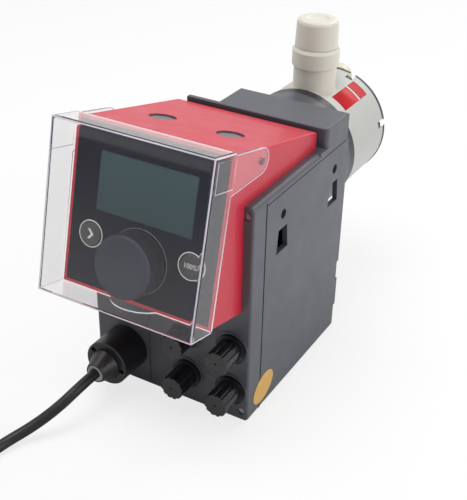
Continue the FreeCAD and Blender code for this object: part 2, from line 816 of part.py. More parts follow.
def make_cube_shell():
    body = new_body("cube_shell")
    half = s.cube_width / 2
    wall = s.cube_wall
    depth = s.frame_depth
    height = s.face_height
    rear_y = front_y + s.cube_back
    sketch = new_sketch(body, "YZ_Plane", -half)
    draw_outline(sketch, [(depth, 0), (depth, height), (back_at(rear_y, height), height), to_display(rear_y, roof_z),
                          to_display(front_y, roof_z), (back_at(front_y, 0), 0)])
    pad(sketch, s.cube_width)
    round_edges(body, s.edge_round / 2, lambda edge: lies_at(edge, "z", height) and not lies_at(edge, "y", depth))
    inner_y = rear_y - wall
    sketch = new_sketch(body, "YZ_Plane", -half + wall)
    draw_outline(sketch, [(depth - 1, wall), (depth - 1, height - wall), (back_at(inner_y, height - wall), height - wall),
                          to_display(inner_y, roof_z + wall), to_display(front_y - wall, roof_z + wall),
                          (back_at(front_y - wall, wall), wall)])
    pocket(sketch, s.cube_width - wall * 2, 1)
    sketch = new_sketch(body, "XY_Plane", height - wall / 2)
    for x in (-s.plug_side, s.plug_side):
        draw_circle(sketch, x, s.plug_back, s.plug_recess_radius + wall)
    pad(sketch, s.plug_recess_depth + wall / 2, -1)
    sketch = new_sketch(body, "XY_Plane", height + 1)
    for x in (-s.plug_side, s.plug_side):
        draw_circle(sketch, x, s.plug_back, s.plug_recess_radius)
    pocket(sketch, s.plug_recess_depth + 1, -1)
    pivot = to_display(front_y + s.pivot_back, s.pivot_height)
    for side in (-1, 1):
        sketch = new_sketch(body, "YZ_Plane", (half - wall / 2) * side)
        draw_circle(sketch, pivot[0], pivot[1], s.hinge_pin_radius + wall)
        pad(sketch, s.hinge_pin_seat - wall / 2, -side)
        sketch = new_sketch(body, "YZ_Plane", (half + 1) * side)
        draw_circle(sketch, pivot[0], pivot[1], s.hinge_pin_radius)
        pocket(sketch, s.hinge_pin_seat + 1, -side)
    place_on_display(body)


def make_cube_frame():
    body = new_body("cube_frame")
    half = s.cube_width / 2
    height = s.face_height
    lip = s.frame_lip
    rim = s.frame_lip + s.frame_rim
    sketch = new_sketch(body, "XZ_Plane", 0)
    draw_box(sketch, -half, 0, half, height)
    pad(sketch, s.frame_depth, 1)
    sketch = new_sketch(body, "XZ_Plane", -1)
    draw_box(sketch, -half + lip, lip, half - lip, height - lip)
    pocket(sketch, s.panel_thickness + 1, 1)
    sketch = new_sketch(body, "XZ_Plane", -1)
    draw_box(sketch, -half + rim, rim, half - rim, height - rim)
    pocket(sketch, s.frame_depth + 2, 1)
    place_on_display(body)


def make_display_panel():
    body = new_body("display_panel")
    half = s.cube_width / 2 - s.frame_lip - s.panel_clear
    low = s.frame_lip + s.panel_clear
    high = s.face_height - low
    sketch = new_sketch(body, "XZ_Plane", 0)
    draw_box(sketch, -half, low, half, high)
    pad(sketch, s.panel_thickness, 1)
    sketch = new_sketch(body, "XZ_Plane", -1)
    draw_box(sketch, -s.lcd_width / 2, s.lcd_middle - s.lcd_tall / 2, s.lcd_width / 2, s.lcd_middle + s.lcd_tall / 2)
    draw_circle(sketch, 0, s.wheel_up, s.plunger_radius + s.button_gap)
    for side in (-1, 1):
        draw_circle(sketch, s.button_side * side, s.button_up, s.button_radius + s.button_gap)
    pocket(sketch, s.panel_thickness + 2, 1)
    place_on_display(body)


def make_lcd():
    window = new_body("lcd_window")
    sketch = new_sketch(window, "XZ_Plane", s.lcd_sunk)
    draw_box(sketch, -s.lcd_width / 2, -s.lcd_tall / 2, s.lcd_width / 2, s.lcd_tall / 2)
    pad(sketch, s.panel_thickness - s.lcd_sunk, 1)
    place_on_display(window, 0, s.lcd_middle)
    module = new_body("lcd_module")
    border = s.frame_lip
    sketch = new_sketch(module, "XZ_Plane", s.panel_thickness)
    draw_box(sketch, -s.lcd_width / 2 - border, -s.lcd_tall / 2 - border, s.lcd_width / 2 + border,
             s.lcd_tall / 2 + border)
    pad(sketch, s.frame_depth - s.panel_thickness, 1)
    place_on_display(module, 0, s.lcd_middle)


def make_control_board():
    body = new_body("control_board")
    half = s.cube_width / 2 - s.cube_wall - s.board_edge_clear
    low = s.cube_wall + s.board_edge_clear
    sketch = new_sketch(body, "XZ_Plane", s.frame_depth)
    draw_box(sketch, -half, low, half, s.face_height - low)
    pad(sketch, s.board_thickness, 1)
    sketch = new_sketch(body, "XZ_Plane", s.frame_depth)
    half_switch = s.switch_side / 2
    for side in (-1, 1):
        x = s.button_side * side
        draw_box(sketch, x - half_switch, s.button_up - half_switch, x + half_switch, s.button_up + half_switch)
    pad(sketch, s.switch_tall, -1)
    sketch = new_sketch(body, "XZ_Plane", s.frame_depth - 1)
    draw_circle(sketch, 0, s.wheel_up, s.spindle_radius + s.button_travel)
    pocket(sketch, s.board_thickness + 2, 1)
    place_on_display(body)


def make_click_wheel():
    front = -s.wheel_front
    back = -s.wheel_back
    inside = s.wheel_radius - s.wheel_wall
    hub = s.spindle_radius + s.cube_wall
    wheel = turned("click_wheel", "Y", [
        (0, front), (s.wheel_radius - 1, front), (s.wheel_radius, front + 1), (s.wheel_radius, back),
        (inside, back), (inside, front + 4), (hub, front + 4), (hub, back - 1), (s.spindle_radius, back - 1),
        (s.spindle_radius, front + 3), (0, front + 3)])
    place_on_display(wheel, 0, s.wheel_up)
    plunger_front = amount(0) + s.wheel_travel * 0.8
    plunger_back = s.frame_depth - s.wheel_travel - s.button_gap
    spindle = turned("wheel_spindle", "Y", [
        (0, front + 3), (s.spindle_radius, front + 3), (s.spindle_radius, plunger_back), (0, plunger_back)])
    place_on_display(spindle, 0, s.wheel_up)
    bore = s.spindle_radius + s.running_fit
    plunger = turned("wheel_plunger", "Y", [
        (bore, plunger_front), (s.plunger_radius, plunger_front), (s.plunger_radius, plunger_back), (bore, plunger_back)])
    place_on_display(plunger, 0, s.wheel_up)
    encoder = turned("encoder_body", "Y", [
        (s.plunger_radius + s.running_fit, s.frame_depth - s.encoder_length),
        (s.encoder_radius, s.frame_depth - s.encoder_length), (s.encoder_radius, s.frame_depth),
        (s.plunger_radius + s.running_fit, s.frame_depth)])
    place_on_display(encoder, 0, s.wheel_up)


def make_button(name, side):
    flange_y = s.panel_thickness + s.button_gap
    stem_end = s.frame_depth - s.switch_tall - s.button_travel - s.panel_clear
    radius = s.button_radius
    edge = s.button_proud * 0.7
    button = turned(name, "Y", [
        (0, -s.button_proud), (radius - edge, -s.button_proud), (radius, edge - s.button_proud),
        (radius, flange_y), (radius + s.button_flange, flange_y), (radius + s.button_flange, flange_y + 1),
        (s.running_fit + 2, flange_y + 1), (s.running_fit + 2, stem_end), (0, stem_end)])
    place_on_display(button, s.button_side * side, s.button_up)


def make_plug_covers():
    members = []
    lean = FreeCAD.Rotation(FreeCAD.Vector(1, 0, 0), -s.display_tilt.number)
    base = s.face_height - s.plug_recess_depth
    for number, side in enumerate((-1, 1), start=1):
        cover = cylinder(f"top_plug_{number}", s.plug_recess_radius - s.panel_clear * 2, s.plug_cover_thickness)
        y = face_y + s.plug_back * cosine(s.display_tilt) + base * sine(s.display_tilt)
        z = s.face_bottom - s.plug_back * sine(s.display_tilt) + base * cosine(s.display_tilt)
        place(cover, s.plug_side * side, y, z, lean)
        bind(cover, "Placement.Rotation.Angle", -s.display_tilt)
        members.append(cover)
    group("top_plugs", members)


def make_lid():
    body = new_body("clear_lid")
    half = s.lid_width / 2
    wall = s.lid_wall
    high = s.face_height + s.lid_top_clear + wall
    low = -s.lid_drop
    back = -s.lid_gap
    front = back - s.lid_depth
    sketch = new_sketch(body, "XZ_Plane", back)
    draw_box(sketch, -half, low, half, high)
    pad(sketch, s.lid_depth, -1)
    round_edges(body, s.edge_round * 0.8, lambda edge: lies_at(edge, "y", front) or (
        runs_along(edge, "y") and not lies_at(edge, "y", back)))
    sketch = new_sketch(body, "XZ_Plane", back)
    draw_box(sketch, -half + wall, low + wall, half - wall, high - wall)
    pocket(sketch, s.lid_depth - s.lid_front_wall, -1)
    sketch = new_sketch(body, "XY_Plane", low - 1)
    draw_circle(sketch, 0, s.lid_notch_radius - s.lid_notch_reach, s.lid_notch_radius)
    pocket(sketch, wall + 2, 1)
    pivot = to_display(front_y + s.pivot_back, s.pivot_height)
    for side in (-1, 1):
        sketch = new_sketch(body, "YZ_Plane", (half - wall) * side)
        lower_y = pivot[0] + s.ear_radius * 0.235
        lower_z = pivot[1] - s.ear_radius * 0.972
        draw_outline(sketch, [(back - 1, s.ear_low), (lower_y, lower_z), pivot,
                              (pivot[0], pivot[1] + s.ear_radius), (back - 1, pivot[1] + s.ear_radius)])
        pad(sketch, wall, side)
        sketch = new_sketch(body, "YZ_Plane", (half - wall) * side)
        draw_circle(sketch, pivot[0], pivot[1], s.ear_radius)
        pad(sketch, wall, side)
        sketch = new_sketch(body, "YZ_Plane", (half + 1) * side)
        draw_circle(sketch, pivot[0], pivot[1], s.hinge_pin_radius + s.hinge_pin_fit)
        pocket(sketch, wall + 2, -side)
        sketch = new_sketch(body, "YZ_Plane", (half - 0.2) * side)
        draw_box(sketch, front + s.edge_round, s.lid_band_low, back, high - s.edge_round)
        pad(sketch, s.lid_band_proud + 0.2, side)
    place_on_display(body)


def make_hinge_pins():
    pins = []
    length = s.hinge_pin_seat + s.lid_width / 2 - s.cube_width / 2 + 0.4
    for number, side in enumerate((-1, 1), start=1):
        pin = cylinder(f"hinge_pin_{number}", s.hinge_pin_radius, length)
        start = s.cube_width / 2 - s.hinge_pin_seat
        x = start if side > 0 else -(start + length)
        place(pin, x, front_y + s.pivot_back, s.pivot_height, ALONG_X)
        pins.append(pin)
    group("lid_hinge_pins", pins)


def make_diaphragm_flange():
    body = turned("diaphragm_flange", "Y", [
        (s.flange_bore, neck_end_y), (s.neck_radius, neck_end_y), (s.neck_radius, head_front_y),
        (s.flange_bore, head_front_y)])
    sketch = new_sketch(body, "XZ_Plane", neck_end_y - 1)
    for x, up in head_screw_places():
        draw_circle(sketch, x, up, s.head_screw_radius)
    pocket(sketch, s.flange_thickness + 2, 1)
    place(body, 0, 0, s.head_height)


def make_diaphragm():
    back = head_front_y + s.diaphragm_thickness
    disc = turned("diaphragm", "Y", [
        (0, head_front_y), (s.diaphragm_radius, head_front_y), (s.diaphragm_radius, back), (0, back)])
    place(disc, 0, 0, s.head_height)


def make_dosing_head():
    seat_y = head_front_y + s.diaphragm_thickness
    body = turned("dosing_head", "Y", [
        (0, seat_y + s.chamber_depth), (s.chamber_radius * 0.6, seat_y + s.chamber_depth * 0.85),
        (s.chamber_radius, seat_y), (s.diaphragm_radius, seat_y), (s.diaphragm_radius, head_front_y),
        (s.head_radius, head_front_y), (s.head_radius, head_back_y), (0, head_back_y)])
    start = s.head_radius * 0.6
    for toward in (1, -1):
        sketch = new_sketch(body, "XY_Plane", start * toward)
        draw_circle(sketch, 0, valve_y, s.valve_boss_radius)
        pad(sketch, s.valve_boss_reach - start, toward)
    sketch = new_sketch(body, "XZ_Plane", head_front_y - 1)
    draw_circle(sketch, 0, 0, s.diaphragm_radius)
    pocket(sketch, s.diaphragm_thickness + 1, 1)
    for toward in (1, -1):
        sketch = new_sketch(body, "XY_Plane", (s.valve_boss_reach + 1) * toward)
        draw_circle(sketch, 0, valve_y, s.cartridge_radius)
        pocket(sketch, s.valve_seat_depth + 1, -toward)
    through = s.valve_boss_reach - s.valve_seat_depth + 1
    sketch = new_sketch(body, "XY_Plane", through)
    draw_circle(sketch, 0, valve_y, s.valve_bore)
    pocket(sketch, through * 2, -1)
    sketch = new_sketch(body, "XZ_Plane", seat_y + s.chamber_depth / 2)
    draw_circle(sketch, 0, 0, s.valve_bore)
    pocket(sketch, s.valve_back - s.chamber_depth / 2 - s.diaphragm_thickness, 1)
    sketch = new_sketch(body, "XZ_Plane", head_front_y - 1)
    for x, up in head_screw_places():
        draw_circle(sketch, x, up, s.head_screw_radius)
    pocket(sketch, s.head_length + 2, 1)
    sketch = new_sketch(body, "XZ_Plane", head_back_y + 1)
    for x, up in head_screw_places():
        draw_circle(sketch, x, up, s.head_screw_bore_radius)
    pocket(sketch, s.head_screw_sunk + 1, -1)
    sketch = new_sketch(body, "XZ_Plane", head_back_y + 1)
    draw_circle(sketch, 0, s.vent_up, s.vent_stem_radius + s.running_fit)
    pocket(sketch, s.vent_stem_length + 2, -1)
    place(body, 0, 0, s.head_height)


def make_head_cover():
    body = new_body("head_cover")
    sketch = new_sketch(body, "XZ_Plane", head_back_y)
    draw_circle(sketch, 0, 0, s.cover_radius)
    pad(sketch, s.cover_thickness, 1)
    sketch = new_sketch(body, "XZ_Plane", head_back_y - 1)
    for x, up in head_screw_places():
        draw_circle(sketch, x, up, s.head_screw_bore_radius)
    draw_circle(sketch, 0, s.vent_up, s.vent_stem_radius + s.running_fit)
    draw_circle(sketch, -s.nozzle_side, s.nozzle_up, s.nozzle_bore)
    pocket(sketch, s.cover_thickness + 2, 1)
    place(body, 0, 0, s.head_height)


def make_head_screws():
    members = []
    seat_y = head_back_y - s.head_screw_sunk
    length = s.head_length - s.head_screw_sunk + s.flange_thickness + s.head_screw_bite
    for number, (x, up) in enumerate(head_screw_places(), start=1):
        head = cylinder(f"head_screw_head_{number}", s.head_screw_head_radius, s.head_screw_head_tall)
        place(head, x, seat_y, s.head_height + up, ALONG_Y)
        shank = cylinder(f"head_screw_shank_{number}", s.head_screw_radius, length)
        place(shank, x, seat_y, s.head_height + up, AGAINST_Y)
        blank = doc.addObject("Part::Fuse", f"head_screw_blank_{number}")
        blank.Base = head
        blank.Tool = shank
        socket = doc.addObject("Part::Prism", f"head_screw_socket_{number}")
        socket.Polygon = 6
        bind(socket, "Circumradius", s.head_screw_head_radius / 2)
        bind(socket, "Height", s.head_screw_head_tall)
        place(socket, x, seat_y + s.head_screw_head_tall / 2, s.head_height + up, ALONG_Y)
        screw = doc.addObject("Part::Cut", f"head_screw_{number}")
        screw.Base = blank
        screw.Tool = socket
        members.append(screw)
    group("head_screws", members)


def valve_pieces(prefix, toward):
    """The discharge valve points up from the head's axis and the suction valve points down."""
    inner = s.valve_boss_reach - s.valve_seat_depth
    seat = s.valve_boss_reach
    flange_top = seat + s.cartridge_flange_tall
    thread_top = flange_top + s.thread_tall
    cage = inner + s.ball_cage_low
    cage_top = cage + s.ball_cage_tall
    nut_top = seat + s.union_tall
    cap_top = nut_top + s.valve_cap_tall
    clear_thread = s.thread_radius + s.union_clear
    turn = s.valve_cap_round

    def along(outline):
        return [(radius, place_z * toward) for radius, place_z in outline]

    cartridge = turned(f"{prefix}_valve_cartridge", "Z", along([
        (s.valve_bore, inner), (s.cartridge_radius, inner), (s.cartridge_radius, seat),
        (s.cartridge_flange_radius, seat), (s.cartridge_flange_radius, flange_top), (s.thread_radius, flange_top),
        (s.thread_radius, thread_top), (s.valve_bore, thread_top), (s.valve_bore, cage_top),
        (s.ball_cage_radius, cage_top), (s.ball_cage_radius, cage), (s.valve_bore, cage)]))
    union = turned(f"{prefix}_union_nut", "Z", along([
        (s.cartridge_flange_radius + s.union_clear, seat), (s.union_radius - 0.8, seat),
        (s.union_radius, seat + 1.2), (s.union_radius, nut_top - 2.2), (s.union_radius - 1.4, nut_top),
        (clear_thread, nut_top), (clear_thread, flange_top), (s.cartridge_flange_radius + s.union_clear, flange_top)]))
    cap = turned(f"{prefix}_connection_cap", "Z", along([
        (clear_thread, nut_top), (s.valve_cap_base_radius - 0.5, nut_top), (s.valve_cap_base_radius, nut_top + 1.2),
        (s.valve_cap_top_radius, cap_top - turn), (s.valve_cap_top_radius - turn * 0.3, cap_top - turn * 0.3),
        (s.valve_cap_top_radius - turn, cap_top), (s.valve_cap_dish_radius, cap_top),
        (s.valve_cap_dish_radius * 0.75, cap_top - s.valve_cap_dish * 0.7), (0, cap_top - s.valve_cap_dish),
        (0, thread_top + 1), (clear_thread, thread_top + 1)]))
    for piece in (cartridge, union, cap):
        place(piece, 0, valve_y, s.head_height)
    low_edge = cage if toward > 0 else -cage_top
    ball = doc.addObject("Part::Sphere", f"{prefix}_ball")
    ball.Label = f"{prefix}_ball"
    bind(ball, "Radius", s.ball_radius)
    rise = (s.ball_radius * s.ball_radius - s.valve_bore * s.valve_bore)
    lift = Amount(f"sqrt({rise.text})", math.sqrt(rise.number))
    place(ball, 0, valve_y, s.head_height + low_edge + lift + s.ball_rest_gap)
    nodes[ball.Label] = ball


def make_deaeration():
    radius = s.vent_radius
    start = cover_back_y + s.vent_gap
    end = cover_back_y + s.vent_length
    stem = s.vent_stem_radius
    knob = turned("deaeration_knob", "Y", [
        (0, head_back_y - s.vent_stem_length), (stem, head_back_y - s.vent_stem_length), (stem, start),
        (radius * 0.9, start), (radius, start + 1), (radius, end - radius * 0.75),
        (radius * 0.92, end - radius * 0.45), (radius * 0.7, end - radius * 0.2), (radius * 0.38, end - radius * 0.05),
        (0, end)])
    place(knob, 0, 0, s.head_height + s.vent_up)
    barb = s.nozzle_radius
    tip = cover_back_y + s.nozzle_length
    nozzle = turned("deaeration_nozzle", "Y", [
        (s.nozzle_bore, cover_back_y), (s.nozzle_flange_radius, cover_back_y),
        (s.nozzle_flange_radius, cover_back_y + 4), (barb * 0.8, cover_back_y + 4), (barb * 0.8, tip - 7),
        (barb, tip - 7), (barb * 0.8, tip - 3.5), (barb, tip - 3.5), (barb * 0.7, tip), (s.nozzle_bore, tip)])
    place(nozzle, -s.nozzle_side, 0, s.head_height + s.nozzle_up)


def make_gearbox_frame():
    body = new_body("gearbox_frame")
    back_face = back_y - s.housing_wall
    plate_y = back_face - s.frame_plate
    half_gap = s.frame_gap / 2
    half_back = s.frame_back_width / 2
    sketch = new_sketch(body, "XZ_Plane", plate_y)
    draw_box(sketch, -half_back, s.frame_low, half_back, s.frame_high)
    pad(sketch, s.frame_plate, 1)
    for start in (-half_gap - s.frame_plate, half_gap):
        sketch = new_sketch(body, "YZ_Plane", start)
        draw_box(sketch, front_y + s.frame_front, s.frame_low, plate_y + 1, s.frame_high)
        pad(sketch, s.frame_plate, 1)
    sketch = new_sketch(body, "YZ_Plane", -half_gap - s.frame_plate - 1)
    draw_circle(sketch, drive_y, s.head_height, s.bearing_radius)
    pocket(sketch, s.frame_gap + s.frame_plate * 2 + 2, 1)
    sketch = new_sketch(body, "YZ_Plane", -half_gap - s.frame_plate - 1)
    draw_circle(sketch, drive_y, motor_z, s.motor_pilot_radius)
    pocket(sketch, s.frame_plate + 2, 1)
    sketch = new_sketch(body, "XZ_Plane", plate_y - 1)
    draw_circle(sketch, 0, s.head_height, s.bush_radius)
    pocket(sketch, s.frame_plate + 2, 1)


def make_motor():
    body = new_body("stepper_motor")
    face_x = -s.frame_gap / 2 - s.frame_plate
    half = s.motor_side / 2
    corner = s.motor_corner
    sketch = new_sketch(body, "YZ_Plane", face_x)
    draw_outline(sketch, [
        (drive_y - half + corner, motor_z - half), (drive_y + half - corner, motor_z - half),
        (drive_y + half, motor_z - half + corner), (drive_y + half, motor_z + half - corner),
        (drive_y + half - corner, motor_z + half), (drive_y - half + corner, motor_z + half),
        (drive_y - half, motor_z + half - corner), (drive_y - half, motor_z - half + corner)])
    pad(sketch, s.motor_length, -1)
    sketch = new_sketch(body, "YZ_Plane", face_x)
    draw_circle(sketch, drive_y, motor_z, s.motor_pilot_radius)
    pad(sketch, s.motor_pilot_length, 1)
    sketch = new_sketch(body, "YZ_Plane", face_x + s.motor_pilot_length + 1)
    draw_circle(sketch, drive_y, motor_z, s.motor_shaft_radius + s.motor_shaft_clear)
    pocket(sketch, s.motor_pilot_length + s.motor_shaft_sunk + 1, -1)
    gear_x = -s.frame_gap / 2 + s.gear_inset
    start_x = face_x - s.motor_shaft_sunk + s.motor_shaft_clear
    shaft = cylinder("motor_shaft", s.motor_shaft_radius, gear_x + s.gear_width + 1 - start_x)
    shaft.Label = "motor_shaft"
    place(shaft, start_x, drive_y, motor_z, ALONG_X)
    nodes["motor_shaft"] = shaft


def involute_gear(teeth, bore, backlash, phase):
    """A spur gear about +X. Its tooth flanks are involutes of the base circle."""
    module = s.gear_module.number
    pitch_radius = module * teeth / 2
    base_radius = pitch_radius * math.cos(math.radians(20))
    tip_radius = pitch_radius + module * 0.9
    root_radius = pitch_radius - module * 1.2
    half_tooth = (math.pi * module / 2 - backlash) / 2 / pitch_radius

    def involute_turn(radius):
        pressure = math.acos(min(1.0, base_radius / radius))
        return math.tan(pressure) - pressure

    start_radius = max(base_radius, root_radius)
    flank = [start_radius + (tip_radius - start_radius) * step / 3 for step in range(4)]
    spots = []
    for tooth in range(teeth):
        middle = 2 * math.pi * tooth / teeth + phase
        widths = [half_tooth + involute_turn(pitch_radius) - involute_turn(radius) for radius in flank]
        left = [(radius, middle - width) for radius, width in zip(flank, widths)]
        right = [(radius, middle + width) for radius, width in zip(reversed(flank), reversed(widths))]
        foot = [(root_radius, left[0][1])] if root_radius < start_radius else []
        heel = [(root_radius, right[-1][1])] if root_radius < start_radius else []
        spots += foot + left + right + heel
    corners = [FreeCAD.Vector(0, radius * math.cos(turn), radius * math.sin(turn)) for radius, turn in spots]
    outline = Part.Face(Part.makePolygon(corners + corners[:1]))
    width = FreeCAD.Vector(s.gear_width.number, 0, 0)
    hole = Part.makeCylinder(bore, s.gear_width.number, FreeCAD.Vector(0, 0, 0), FreeCAD.Vector(1, 0, 0))
    return outline.extrude(width).cut(hole)


def make_gears():
    gear_x = -s.frame_gap / 2 + s.gear_inset
    down = -math.pi / 2
    gear_teeth = int(s.gear_teeth.number)
    pinion_teeth = int(s.pinion_teeth.number)
    backlash = s.tooth_backlash.number
    gear = doc.addObject("Part::Feature", "drive_gear")
    gear.Shape = involute_gear(gear_teeth, s.shaft_radius.number, backlash, down)
    pinion = doc.addObject("Part::Feature", "motor_pinion")
    half_pitch = math.pi / pinion_teeth
    pinion.Shape = involute_gear(pinion_teeth, s.motor_shaft_radius.number, backlash, -down + half_pitch)
    place(gear, gear_x, drive_y, s.head_height)
    place(pinion, gear_x, drive_y, motor_z)
    for item in (gear, pinion):
        item.Label = item.Name
        nodes[item.Label] = item


def make_eccentric():
    body = new_body("eccentric_shaft")
    end = s.frame_gap / 2 + s.frame_plate + s.shaft_overhang
    sketch = new_sketch(body, "YZ_Plane", -end)
    draw_circle(sketch, drive_y, s.head_height, s.shaft_radius)
    pad(sketch, end * 2, 1)
    journal_z = s.head_height + s.eccentric_throw
    sketch = new_sketch(body, "YZ_Plane", -s.journal_length / 2)
    draw_circle(sketch, drive_y, journal_z, s.journal_radius)
    pad(sketch, s.journal_length, 1)
    ring = new_body("eccentric_bearing")
    sketch = new_sketch(ring, "YZ_Plane", -s.yoke_thickness / 2)
    draw_circle(sketch, drive_y, journal_z, s.eccentric_ring_radius)
    draw_circle(sketch, drive_y, journal_z, s.journal_radius)
    pad(sketch, s.yoke_thickness, 1)
    members = []
    for number, start in enumerate((-s.frame_gap / 2 - s.frame_plate, s.frame_gap / 2), start=1):
        outer = cylinder(f"shaft_bearing_outer_{number}", s.bearing_radius, s.frame_plate)
        inner = cylinder(f"shaft_bearing_bore_{number}", s.shaft_radius + s.running_fit, s.frame_plate)
        for item in (outer, inner):
            place(item, start, drive_y, s.head_height, ALONG_X)
        bearing = doc.addObject("Part::Cut", f"shaft_bearing_{number}")
        bearing.Base = outer
        bearing.Tool = inner
        members.append(bearing)
    group("shaft_bearings", members)


def make_push_rod():
    body = new_body("push_rod")
    slot_y = s.eccentric_ring_radius + s.eccentric_throw * 2 + s.yoke_clear
    slot_z = s.eccentric_ring_radius + s.eccentric_throw + s.yoke_clear
    bar = s.yoke_bar
    sketch = new_sketch(body, "YZ_Plane", -s.yoke_thickness / 2)
    draw_box(sketch, drive_y - slot_y - bar, s.head_height - slot_z - bar, drive_y + slot_y + bar,
             s.head_height + slot_z + bar)
    draw_box(sketch, drive_y - slot_y, s.head_height - slot_z, drive_y + slot_y, s.head_height + slot_z)
    pad(sketch, s.yoke_thickness, 1)
    start_y = drive_y + slot_y + bar / 2
    sketch = new_sketch(body, "XZ_Plane", start_y)
    draw_circle(sketch, 0, s.head_height, s.rod_radius)
    pad(sketch, head_front_y - s.support_disc_thickness - start_y, 1)
    disc_y = head_front_y - s.support_disc_thickness
    disc = turned("support_disc", "Y", [
        (0, disc_y), (s.support_disc_radius - 2, disc_y), (s.support_disc_radius, disc_y + 2),
        (s.support_disc_radius, head_front_y), (0, head_front_y)])
    place(disc, 0, 0, s.head_height)
    bush_y = back_y - s.housing_wall - s.frame_plate - 2
    bore = s.rod_radius + s.running_fit
    bush = turned("guide_bush", "Y", [
        (bore, bush_y), (s.bush_radius, bush_y), (s.bush_radius, bush_y + s.bush_length), (bore, bush_y + s.bush_length)])
    place(bush, 0, 0, s.head_height)


def make_power_board():
    body = new_body("power_board")
    half = s.power_board_width / 2
    middle_y = (s.board_post_back - s.board_post_front) / 2
    sketch = new_sketch(body, "XY_Plane", s.power_board_height)
    draw_box(sketch, -half, middle_y - s.power_board_depth / 2, half, middle_y + s.power_board_depth / 2)
    pad(sketch, s.board_thickness, 1)
    transformer = new_body("transformer")
    half = s.transformer_side / 2
    sketch = new_sketch(transformer, "XY_Plane", s.power_board_height + s.board_thickness)
    draw_box(sketch, -half, middle_y - half, half, middle_y + half)
    pad(sketch, s.transformer_tall, 1)


make_front_cover()
make_main_housing()
make_rear_top_cover()
make_front_screws()
make_sockets()
make_gland()
make_lead()
make_cube_shell()
make_cube_frame()
make_display_panel()
make_lcd()
make_control_board()
make_click_wheel()
make_button("start_stop_button", -1)
make_button("full_flow_button", 1)
make_plug_covers()
make_lid()
make_hinge_pins()
make_diaphragm_flange()
make_diaphragm()
make_dosing_head()
make_head_cover()
make_head_screws()
valve_pieces("discharge", 1)
valve_pieces("suction", -1)
make_deaeration()
make_gearbox_frame()
make_motor()
make_gears()
make_eccentric()
make_push_rod()
make_power_board()
doc.recompute()

for item in doc.Objects:
    if "Invalid" in item.State or "Error" in item.State:
        raise RuntimeError(f"{item.Name} did not compute: {item.State}")
    if item.TypeId == "PartDesign::Pocket":
        removed = item.BaseFeature.Shape.Volume - item.Shape.Volume
        if removed < 0.01:
            raise RuntimeError(f"{item.Name} cuts nothing")
for name, item in nodes.items():
    if item.Shape.isNull() or not item.Shape.isValid():
        raise RuntimeError(f"{name} has no valid shape")

os.makedirs("parts", exist_ok=True)
for name, item in nodes.items():
    item.Shape.exportStep(f"parts/{name}.step")
print(len(nodes), "sub-parts written")
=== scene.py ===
import math

import bmesh
import bpy
from mathutils import Matrix, Vector


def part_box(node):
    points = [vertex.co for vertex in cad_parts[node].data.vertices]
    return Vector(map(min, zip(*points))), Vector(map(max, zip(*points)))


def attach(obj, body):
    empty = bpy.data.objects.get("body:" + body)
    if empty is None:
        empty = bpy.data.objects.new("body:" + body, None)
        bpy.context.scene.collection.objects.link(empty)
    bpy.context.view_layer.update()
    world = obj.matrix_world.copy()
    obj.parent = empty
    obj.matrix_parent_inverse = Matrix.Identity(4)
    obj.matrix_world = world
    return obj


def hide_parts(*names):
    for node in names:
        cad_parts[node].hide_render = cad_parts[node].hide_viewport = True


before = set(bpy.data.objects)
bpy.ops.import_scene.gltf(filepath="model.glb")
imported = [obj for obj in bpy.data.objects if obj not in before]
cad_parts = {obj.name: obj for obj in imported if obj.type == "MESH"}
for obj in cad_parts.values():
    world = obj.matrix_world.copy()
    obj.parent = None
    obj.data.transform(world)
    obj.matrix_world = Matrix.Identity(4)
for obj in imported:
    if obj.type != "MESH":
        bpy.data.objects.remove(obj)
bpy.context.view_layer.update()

# Lengths are in millimetres, apart from the camera's and the lamps', which are in metres
MM = 0.001
DISPLAY_TILT = math.radians(13.6)
FACE_Y = -103.5
FACE_BOTTOM = 95.2
HEAD_Z = 115.0
FULL_TURN = 2 * math.pi
QUARTER_TURN = math.radians(90)

# Places of the controls on the display: sideways from its middle, and up from its lower edge
WHEEL_UP = 28.0
BUTTON_X = 36.0
BUTTON_UP = 35.5


def srgb(red, green, blue):
    """A colour given as 0 to 255 screen values, turned into the linear values that shaders take."""
    def linear(value):
        value /= 255
        return value / 12.92 if value <= 0.04045 else ((value + 0.055) / 1.055) ** 2.4
    return (linear(red), linear(green), linear(blue), 1.0)


def display_matrix(x, back, up):
    """Local X across the display, local Y back into the cube, local Z up along the display."""
    sine, cosine = math.sin(DISPLAY_TILT), math.cos(DISPLAY_TILT)
    y = FACE_Y + up * sine + back * cosine
    z = FACE_BOTTOM + up * cosine - back * sine
    return Matrix((
        (1, 0, 0, x * MM),
        (0, cosine, sine, y * MM),
        (0, -sine, cosine, z * MM),
        (0, 0, 0, 1)))


def place_object(name, data):
    """An object in the scene that shows the data."""
    item = bpy.data.objects.new(name, data)
    bpy.context.collection.objects.link(item)
    return item


# Camera at the photograph's viewing angle
camera_data = bpy.data.cameras.new("camera")
camera_data.lens = 69.24
camera_data.sensor_width = 36
camera_data.clip_start = 0.01
camera = place_object("camera", camera_data)
camera.matrix_world = Matrix((
    (0.86351, -0.27319, 0.42394, 0.29076),
    (0.50399, 0.43596, -0.74561, -0.49410),
    (0.01887, 0.85750, 0.51414, 0.42472),
    (0, 0, 0, 1)))
bpy.context.scene.camera = camera
bpy.context.scene.view_settings.view_transform = "Standard"


# Materials. Scales count noise patches in a metre.
BUMP_HEIGHT = 0.2
BUMP_DETAIL = 4.0
PATCH_DETAIL = 3.0
COLOUR_SCALE = 35.0
GLOSS_SCALE = 60.0
METAL_GLOSS_SCALE = 120.0


def new_material(name):
    material = bpy.data.materials.new(name)
    material.use_nodes = True
    shader = material.node_tree.nodes["Principled BSDF"]
    return material, material.node_tree, shader


